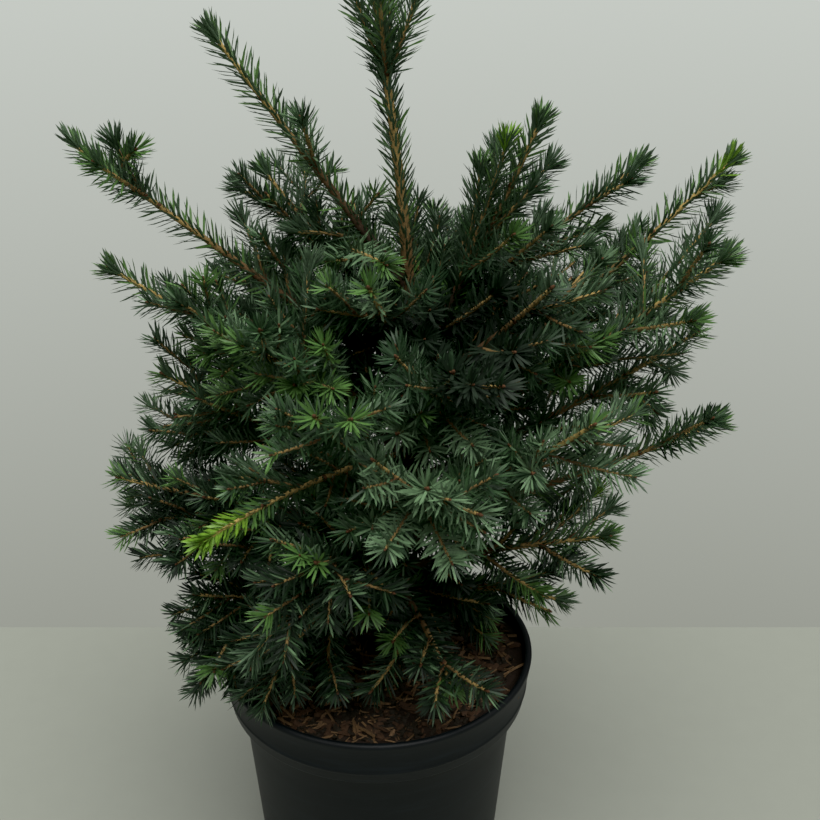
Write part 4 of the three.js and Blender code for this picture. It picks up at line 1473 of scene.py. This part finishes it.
def soil_bed(settings):
    """The peat's rough top down to a flat underside, and the field that the chips lie on."""
    turns = 2 * np.pi * np.arange(BED_SEGMENTS) / BED_SEGMENTS
    radii = np.linspace(BED_START, SOIL_RADIUS, BED_RINGS)
    top = np.array([[(r * math.cos(t), r * math.sin(t), bed_height(r, t)) for t in turns] for r in radii])
    under = top[-1].copy()
    under[:, :2] *= (SOIL_RADIUS - SOIL_INSET) / SOIL_RADIUS
    under[:, 2] = SOIL_EDGE - SOIL_DEPTH
    rings = np.concatenate((top, under[None])).reshape(-1, 3)
    places = np.concatenate((rings, ((0, 0, SOIL_TOP), (0, 0, SOIL_EDGE - SOIL_DEPTH))))
    a, b = cells(BED_RINGS, BED_SEGMENTS)
    walls = np.concatenate((np.stack((a, a + BED_SEGMENTS, b + BED_SEGMENTS), 1),
                            np.stack((a, b + BED_SEGMENTS, b), 1)))
    around = np.arange(BED_SEGMENTS)
    after = (around + 1) % BED_SEGMENTS
    last = BED_RINGS * BED_SEGMENTS
    crown = fan(last + BED_SEGMENTS, around, after)
    base = fan(last + BED_SEGMENTS + 1, last + after, last + around)
    bed = mesh_piece("soil_bed", places, np.concatenate((walls, crown, base)),
                     [mulch_material("peat", settings.soil_colour)])
    within = np.tile(a // BED_SEGMENTS < np.searchsorted(radii, SCATTER_RADIUS), 2)
    return bed, mesh_piece("mulch_field", places, walls[within], [])


def level_frames(steps, height):
    """The same across and over ways at each step of a form that lies along X."""
    return np.tile((0.0, 1.0, 0.0), (steps, 1)), np.tile((0.0, 0.0, height), (steps, 1))


def chip_form(kind):
    """A split flake of bark: an uneven slab of a few dozen faces that narrows to both ends."""
    rng = np.random.default_rng(kind.seed)
    shares = np.linspace(-0.5, 0.5, CHIP_STEPS)
    points = np.stack((shares * kind.length, rng.normal(0, kind.width * CHIP_WANDER, CHIP_STEPS),
                       rng.normal(0, kind.thickness * CHIP_WARP, CHIP_STEPS)), 1)
    radii = kind.width / 2 * np.sqrt(np.clip(CHIP_FULL - (2 * shares) ** 2 * CHIP_TAPER, 0.2, 1))
    relief = rng.uniform(*CHIP_RELIEF, (CHIP_STEPS, CHIP_SIDES))
    frames = level_frames(CHIP_STEPS, kind.thickness / kind.width)
    places, faces = tube(points, *frames, radii, CHIP_SIDES, relief)
    return mesh_piece(f"{kind.name}_form", places, faces, [], smooth=False)


def straw_form(kind):
    """A slightly bent straw."""
    shares = np.linspace(-0.5, 0.5, STRAW_STEPS)
    side, up = (bend * kind.length * shares**2 for bend in STRAW_BENDS)
    points = np.stack((shares * kind.length, side, up), 1)
    radii = np.full(STRAW_STEPS, kind.width / 2)
    places, faces = tube(points, *level_frames(STRAW_STEPS, 1.0), radii, STRAW_SIDES)
    return mesh_piece(f"{kind.name}_form", places, faces, [], smooth=False)


def scatter_tree():
    """Geometry Nodes: copies of a form spread over a surface, turned and tilted at random, and realized."""
    tree = bpy.data.node_groups.new("scatter_on_field", "GeometryNodeTree")
    face = tree.interface
    for name, kind in (("Geometry", "Geometry"), ("Form", "Object"), ("Material", "Material"),
                       ("Count", "Float"), ("Size spread", "Float"), ("Tilt", "Float"), ("Seed", "Int")):
        face.new_socket(name, in_out="INPUT", socket_type=f"NodeSocket{kind}")
    face.new_socket("Geometry", in_out="OUTPUT", socket_type="NodeSocketGeometry")
    entry = node(tree, "NodeGroupInput").outputs
    spread, tilt, seed = entry["Size spread"], entry["Tilt"], entry["Seed"]
    density = maths(tree, "DIVIDE", entry["Count"], math.pi * SCATTER_RADIUS**2)
    points = node(tree, "GeometryNodeDistributePointsOnFaces", distribute_method="RANDOM",
                  Mesh=entry["Geometry"], Density=density, Seed=seed)
    back_tilt = maths(tree, "MULTIPLY", tilt, -1)
    low = node(tree, "ShaderNodeCombineXYZ", X=back_tilt, Y=back_tilt)
    high = node(tree, "ShaderNodeCombineXYZ", X=tilt, Y=tilt, Z=2 * math.pi)
    turn = node(tree, "FunctionNodeRandomValue", low.outputs[0], high.outputs[0],
                data_type="FLOAT_VECTOR", Seed=seed)
    size = node(tree, "FunctionNodeRandomValue", None, None, maths(tree, "SUBTRACT", 1, spread),
                maths(tree, "ADD", 1, spread), data_type="FLOAT", Seed=seed)
    form = node(tree, "GeometryNodeObjectInfo", Object=entry["Form"])
    copies = node(tree, "GeometryNodeInstanceOnPoints", Points=points.outputs["Points"],
                  Instance=form.outputs["Geometry"], Rotation=turn.outputs[0], Scale=size.outputs[1])
    real = node(tree, "GeometryNodeRealizeInstances", copies.outputs[0])
    dress = node(tree, "GeometryNodeSetMaterial", Geometry=real.outputs[0], Material=entry["Material"])
    node(tree, "NodeGroupOutput", dress.outputs[0])
    return tree


def scattered(name, field, tree, values):
    """Runs the scatter on a copy of the field and keeps its result as a plain mesh."""
    worker = bpy.data.objects.new(f"{name}_worker", field.data)
    bpy.context.scene.collection.objects.link(worker)
    modifier = worker.modifiers.new("scatter", "NODES")
    modifier.node_group = tree
    for socket in tree.interface.items_tree:
        if socket.in_out == "INPUT" and socket.name in values:
            modifier[socket.identifier] = values[socket.name]
    made = bpy.data.meshes.new_from_object(worker.evaluated_get(bpy.context.evaluated_depsgraph_get()))
    bpy.data.objects.remove(worker)
    made.name = name
    piece = bpy.data.objects.new(name, made)
    bpy.context.scene.collection.objects.link(piece)
    return piece


# Wood

TRUNK_RING_STEP = 0.0015
TRUNK_SIDES = 30
LEADER_SLIM = 0.95
BOUGH_RING_STEP = 0.0022
BOUGH_SIDES = 12
TWIG_RING_STEP = 0.0028
TWIG_SIDES = 6
COLLAR_SWELL = 0.5
COLLAR_REACH = 0.006
GOLDEN_SLIM = 0.7
TOP_INSET = 0.0005
LEAST_BOUGH_RINGS = 8
LEAST_TWIG_RINGS = 6
BOUGH_BARE = 0.34
BOUGH_FIT = 0.95
TRUNK_BARK_SCALE = 260
BOUGH_BARK_SCALE = 420
BOUGH_RELIEF = 0.8
GOLDEN_RELIEF = 0.4
BARK_STRETCH = 0.45
CRACK_GAIN = 3.0
CRACK_LEVEL = 0.6
KNOB_RELIEF = 0.5
KNOB_SCALE = 2.3
ROOT_LOBES = 5
ROOT_TURN = 0.7
ROOT_RELIEF = 0.16
ROOT_HEIGHT = 1.5
SLIM_HEIGHTS = (0.30, 0.42)
PEG_RELIEF = 0.2
PEG_TURN = 2.4
PEG_ROWS = 2
PEG_RIPPLE = 0.06
PEG_RIPPLE_TURN = 5.1

# Age goes from 0 for old bark to 1 for this year's wood
TRUNK_AGES = (1.7, 0.55)
BOUGH_AGES = (1.6, 0.38)
GOLDEN_AGE = 0.9
# Limbs tinted deep get a lower age, which darkens their wood as painted shade
SHADED_LIMB_DARKENING = 0.22
TWIG_AGES = {1: (0.45, 0.95), 2: (0.35, 0.75)}


class SPRUCE_OT_wood(bpy.types.Operator):
    """Builds the trunk, the boughs and the twigs with the bark's relief"""

    bl_idname = "spruce.wood"
    bl_label = "Wood"

    def execute(self, context):
        settings = context.scene.spruce_wood
        bark = bark_material(settings)
        stems, twigs, fine = grow_tree()
        places, faces, age = trunk_arrays(settings)
        trunk = mesh_piece("barked_trunk", places, faces, [bark], values=age)
        finish_piece(trunk, "bark", "trunk")
        places, faces, age = joined(bough_arrays(stem, settings) for stem in stems[:len(BOUGHS)])
        boughs = mesh_piece("barked_boughs", places, faces, [bark], values=age)
        finish_piece(boughs, "bark", *BOUGH_NODES)
        places, faces, age = joined(twig_arrays(twig) for twig in [*twigs, *fine])
        twigs_piece = mesh_piece("twigs", places, faces, [bark], values=age)
        finish_piece(twigs_piece, "bark", *FOLIAGE_NODES)
        bud = mulch_material("bud_scales", settings.bud_colour, amount=0.8)
        places, faces, age = joined(bud_arrays([*stems, *twigs, *fine]))
        buds = mesh_piece("buds", places, faces, [bud], values=age)
        finish_piece(buds, "bark", *FOLIAGE_NODES)
        return {"FINISHED"}


def bark_relief(points, across, over, radii, sides, depth, scale):
    """Share by which the bark's plates and cracks change the radius at each ring and side."""
    relief = np.ones((len(points), sides))
    for ring, (point, radius) in enumerate(zip(points, radii)):
        for side in range(sides):
            turn = 2 * math.pi * side / sides
            place = point + radius * (across[ring] * math.cos(turn) + over[ring] * math.sin(turn))
            spot = Vector((place[0] * scale, place[1] * scale, place[2] * scale * BARK_STRETCH))
            near = noise.voronoi(spot, distance_metric="DISTANCE", exponent=2.5)[0]
            crack = min(1.0, (near[1] - near[0]) * CRACK_GAIN)
            knob = KNOB_RELIEF * noise.noise(spot * KNOB_SCALE)
            relief[ring, side] += depth * (crack - CRACK_LEVEL + knob)
    return relief


def ring_ages(ages, sides):
    """Ages at each place of a tube, with its two middle points last."""
    return np.concatenate((np.repeat(np.clip(ages, 0, 1), sides), (0, 1)))


def trunk_arrays(settings):
    heights = np.arange(TRUNK_FOOT, TREE_TOP - TOP_INSET, TRUNK_RING_STEP)
    points = np.array([trunk_centre(height) for height in heights])
    radii = np.array([trunk_radius(height) for height in heights])
    across = np.tile((1.0, 0.0, 0.0), (len(points), 1))
    over = np.tile((0.0, 1.0, 0.0), (len(points), 1))
    relief = bark_relief(points, across, over, radii, TRUNK_SIDES, settings.relief, TRUNK_BARK_SCALE)
    roots = ROOT_RELIEF * np.exp(-(heights - TRUNK_FOOT) / (ROOT_HEIGHT * FLARE_HEIGHT))
    lobes = np.cos(ROOT_LOBES * 2 * np.pi * np.arange(TRUNK_SIDES) / TRUNK_SIDES + ROOT_TURN)
    relief = relief + roots[:, None] * (lobes[None] - 1) * 0.5
    radii = radii * np.interp(heights, SLIM_HEIGHTS, (1, LEADER_SLIM))
    places, faces = tube(points, across, over, radii, TRUNK_SIDES, relief)
    share = (heights - TRUNK_FOOT) / (TREE_TOP - TRUNK_FOOT)
    gain, delay = TRUNK_AGES
    return places, faces, ring_ages(share * gain - delay, TRUNK_SIDES)


def bough_arrays(stem, settings):
    bough = stem.bough
    length = stem.curve.length()
    shares = np.linspace(0, 1, max(int(length / BOUGH_RING_STEP), LEAST_BOUGH_RINGS))
    points, _, across, over = frames_on(stem.curve, shares)
    bare = bough.bare or BOUGH_BARE
    radii = np.interp(shares, (0, bare, 1), (BOUGH_FOOT_RADIUS, BOUGH_END_RADIUS, STEM_TIP_RADIUS))
    base = trunk_radius(bough.foot)
    radii = radii * (1 + COLLAR_SWELL * np.exp(-np.clip(shares * length - base, 0, None) / COLLAR_REACH))
    radii = np.minimum(radii, base * BOUGH_FIT)
    golden = bough.young > GOLDEN_YOUNG
    radii = radii * (GOLDEN_SLIM if golden else 1)
    depth = settings.relief * (GOLDEN_RELIEF if golden else BOUGH_RELIEF)
    relief = bark_relief(points, across, over, radii, BOUGH_SIDES, depth, BOUGH_BARK_SCALE)
    places, faces = tube(points, across, over, radii, BOUGH_SIDES, relief)
    gain, delay = BOUGH_AGES
    ages = gain * shares - delay + GOLDEN_AGE * golden - SHADED_LIMB_DARKENING * (bough.tint == "deep")
    return places, faces, ring_ages(ages, BOUGH_SIDES)


def peg_relief(count, sides):
    """The slanting rows of small pegs that needles stand on."""
    ring, side = np.meshgrid(np.arange(count), np.arange(sides), indexing="ij")
    pegs = PEG_RELIEF * np.cos(PEG_TURN * ring + 2 * np.pi * side / sides * PEG_ROWS)
    return 1 + pegs + PEG_RIPPLE * np.cos(PEG_RIPPLE_TURN * ring)


def twig_arrays(twig):
    count = max(int(twig.curve.length() / TWIG_RING_STEP), LEAST_TWIG_RINGS)
    shares = np.linspace(0, 1, count)
    points, _, across, over = frames_on(twig.curve, shares)
    radii = np.linspace(*twig.look, count)
    places, faces = tube(points, across, over, radii, TWIG_SIDES, peg_relief(count, TWIG_SIDES))
    foot, tip = TWIG_AGES[twig.order]
    ages = np.concatenate((np.repeat(mix(foot, tip, shares), TWIG_SIDES), (foot, tip)))
    return places, faces, ages


BUD_LENGTH = 0.0036
BUD_WIDTH = 0.3
BUD_OUTLINE = ((0.0, 0.5), (0.3, 1.0), (0.65, 0.75), (0.9, 0.3))
BUD_SIDES = 6
BUD_SIZES = (1.0, 0.85, 0.65)
SIDE_BUD_LENGTH = 0.75
SIDE_BUD_WIDTH = 0.22
SIDE_BUD_SPREAD = 0.9
SIDE_BUD_LIFT = 0.2
STEM_JOINTS = (0.48, 0.76)
TWIG_JOINTS = (0.06,)
SCALE_RING = ((-0.35, 0.8), (0.0, 1.35), (0.35, 1.25), (0.6, 0.9))
SCALE_RING_LENGTH = 0.004


def bead(point, along, across, over, outline, length, width):
    """A small closed body turned about a limb's direction."""
    shares, widths = np.array(outline).T
    points = point + along * (shares * length)[:, None]
    spread = np.repeat(across, len(shares), 0), np.repeat(over, len(shares), 0)
    places, faces = tube(points, *spread, widths * width, BUD_SIDES)
    return places, faces, np.ones(len(places))


def bud_arrays(shoots):
    """Buds at each tip, and rings of bud scales at each twig's foot and each stem's joints."""
    for shoot in shoots:
        size = BUD_LENGTH * BUD_SIZES[shoot.order]
        point, along, across, over = frames_on(shoot.curve, np.array((1.0,)))
        yield bead(point, along, across, over, BUD_OUTLINE, size, size * BUD_WIDTH)
        for side in (-1, 1) if shoot.order < 2 else ():
            leaning = units(along + across * side * SIDE_BUD_SPREAD + over * SIDE_BUD_LIFT)
            yield bead(point - along * size * BUD_WIDTH, leaning, np.cross(leaning, over), over,
                       BUD_OUTLINE, size * SIDE_BUD_LENGTH, size * SIDE_BUD_WIDTH)
        for joint in TWIG_JOINTS if shoot.order else STEM_JOINTS:
            point, along, across, over = frames_on(shoot.curve, np.array((joint,)))
            width = shoot.look[0] if shoot.look else mix(BOUGH_END_RADIUS, STEM_TIP_RADIUS, joint)
            yield bead(point, along, across, over, SCALE_RING, SCALE_RING_LENGTH, width)


class SPRUCE_OT_needles(bpy.types.Operator):
    """Builds the sprays of needles, a piece or more for each tint"""

    bl_idname = "spruce.needles"
    bl_label = "Needles"

    def execute(self, context):
        settings = context.scene.spruce_foliage
        roughness = {"deep": 0.5, "green": 0.48, "pale": 0.6, "inner": 0.6, "fresh": 0.42, "young": 0.4}
        under = needle_material("needle_underside", settings.underside_colour, 0.65)
        # The inner tint is painted shade, and its needles take the deep green on their undersides too
        special = {"young": needle_material("young_underside", settings.young_colour, 0.5),
                   "inner": needle_material("inner_underside", settings.deep_colour, 0.65)}
        for tint, needles in deal_needles(settings).items():
            top = needle_material(f"needles_{tint}", getattr(settings, f"{tint}_colour"), roughness[tint])
            materials = [top, special.get(tint, under)]
            for number, first in enumerate(range(0, len(needles.roots), NEEDLES_A_PIECE), 1):
                part = chosen(needles, slice(first, first + NEEDLES_A_PIECE))
                places, faces, kinds = needle_arrays(part)
                piece = mesh_piece(f"needles_{tint}_{number}", places, faces, materials, kinds, smooth=False)
                finish_piece(piece, "foliage", *FOLIAGE_NODES)
        return {"FINISHED"}


# Stage

CAMERA_PLACE = (0.020, -0.5615, 0.5654)
OVERHEAD_FROM = (0.08, -0.32, 1.0)
OVERHEAD_SPREAD = 55
LIGHT_COLOUR = (1.0, 1.0, 0.97)
BLACK_LEVEL = (0.0018, 0.0014, 0.0016)
FLOOR_REACH = 4.0
BACKDROP_LOW = (0.300, 0.310, 0.270)
BACKDROP_HIGH = (0.570, 0.600, 0.560)
DOME_FOOT = 0.05


class SPRUCE_OT_stage(bpy.types.Operator):
    """Builds the floor, the lights and the camera"""

    bl_idname = "spruce.stage"
    bl_label = "Stage"

    def execute(self, context):
        settings = context.scene.spruce_stage
        scene = context.scene
        scene.view_settings.view_transform = "Standard"
        scene.view_settings.use_curve_mapping = True
        curves = scene.view_settings.curve_mapping
        curves.black_level = BLACK_LEVEL
        curves.update()
        camera = bpy.data.objects.new("camera", bpy.data.cameras.new("camera"))
        camera.location = CAMERA_PLACE
        camera.rotation_euler = (math.radians(90 - settings.tilt), 0, 0)
        camera.data.lens = settings.lens
        camera.data.clip_start = 0.01
        scene.collection.objects.link(camera)
        scene.camera = camera
        reach, edge = FLOOR_REACH, settings.table_edge
        corners = np.array(((-reach, -reach, 0), (reach, -reach, 0), (reach, edge, 0), (-reach, edge, 0)))
        material, tree, shader = new_material("pale_floor", roughness=0.75, specular=0.2)
        shaded(tree, shader, settings.floor_colour, patch_scale=3, grain_scale=60, amount=0.05)
        floor = mesh_piece("floor", corners, np.array(((0, 1, 2, 3),)), [material], smooth=False)
        floor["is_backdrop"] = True
        light_world(scene, settings)
        lamp = bpy.data.lights.new("overhead_light", "SUN")
        lamp.energy = settings.overhead
        lamp.angle = math.radians(OVERHEAD_SPREAD)
        lamp.color = LIGHT_COLOUR
        overhead = bpy.data.objects.new("overhead_light", lamp)
        overhead.rotation_euler = (-Vector(OVERHEAD_FROM)).to_track_quat("-Z", "Y").to_euler()
        scene.collection.objects.link(overhead)
        return {"FINISHED"}


def light_world(scene, settings):
    """Light from all round, with a pale backdrop that lightens upwards."""
    world = bpy.data.worlds.new("studio")
    world.use_nodes = True
    scene.world = world
    tree = world.node_tree
    tree.nodes.clear()
    way = node(tree, "ShaderNodeTexCoord").outputs["Generated"]
    up = node(tree, "ShaderNodeSeparateXYZ", way).outputs["Z"]
    height = node(tree, "ShaderNodeMapRange", Value=up, From_Min=-0.60, From_Max=-0.05)
    colour = colour_ramp(tree, height.outputs["Result"], (0, BACKDROP_LOW), (1, BACKDROP_HIGH))
    backdrop = node(tree, "ShaderNodeBackground", Color=colour)
    above = node(tree, "ShaderNodeMapRange", Value=up, From_Min=0.05, From_Max=0.7,
                 To_Min=DOME_FOOT * settings.dome, To_Max=settings.dome)
    dome = node(tree, "ShaderNodeBackground", Color=(*LIGHT_COLOUR, 1), Strength=above.outputs["Result"])
    seen = node(tree, "ShaderNodeLightPath").outputs["Is Camera Ray"]
    choice = node(tree, "ShaderNodeMixShader", seen, dome.outputs[0], backdrop.outputs[0])
    node(tree, "ShaderNodeOutputWorld", Surface=choice.outputs[0])


class SPRUCE_PT_panel(bpy.types.Panel):
    """Lists the pieces and their settings"""

    bl_idname = "SPRUCE_PT_panel"
    bl_label = "Potted Spruce"
    bl_space_type = "VIEW_3D"
    bl_region_type = "UI"
    bl_category = "Spruce"

    def draw(self, context):
        layout = self.layout
        for name, group in SETTINGS.items():
            settings = getattr(context.scene, name)
            box = layout.box()
            for key in group.__annotations__:
                box.prop(settings, key)
        for operator in OPERATORS:
            layout.operator(operator.bl_idname)


SETTINGS = {
    "spruce_foliage": SpruceFoliageSettings,
    "spruce_wood": SpruceWoodSettings,
    "spruce_pot": SprucePotSettings,
    "spruce_stage": SpruceStageSettings,
}
OPERATORS = (SPRUCE_OT_stage, SPRUCE_OT_pot, SPRUCE_OT_mulch, SPRUCE_OT_wood, SPRUCE_OT_needles)


def register():
    for group in (*SETTINGS.values(), *OPERATORS, SPRUCE_PT_panel):
        bpy.utils.register_class(group)
    for name, group in SETTINGS.items():
        setattr(bpy.types.Scene, name, bpy.props.PointerProperty(type=group))


def unregister():
    for name in SETTINGS:
        delattr(bpy.types.Scene, name)
    for group in (SPRUCE_PT_panel, *reversed(OPERATORS), *reversed(SETTINGS.values())):
        bpy.utils.unregister_class(group)


def main():
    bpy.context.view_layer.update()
    register()
    bpy.ops.spruce.stage()
    bpy.ops.spruce.pot()
    bpy.ops.spruce.mulch()
    bpy.ops.spruce.wood()
    bpy.ops.spruce.needles()


if __name__ == "__main__":
    main()
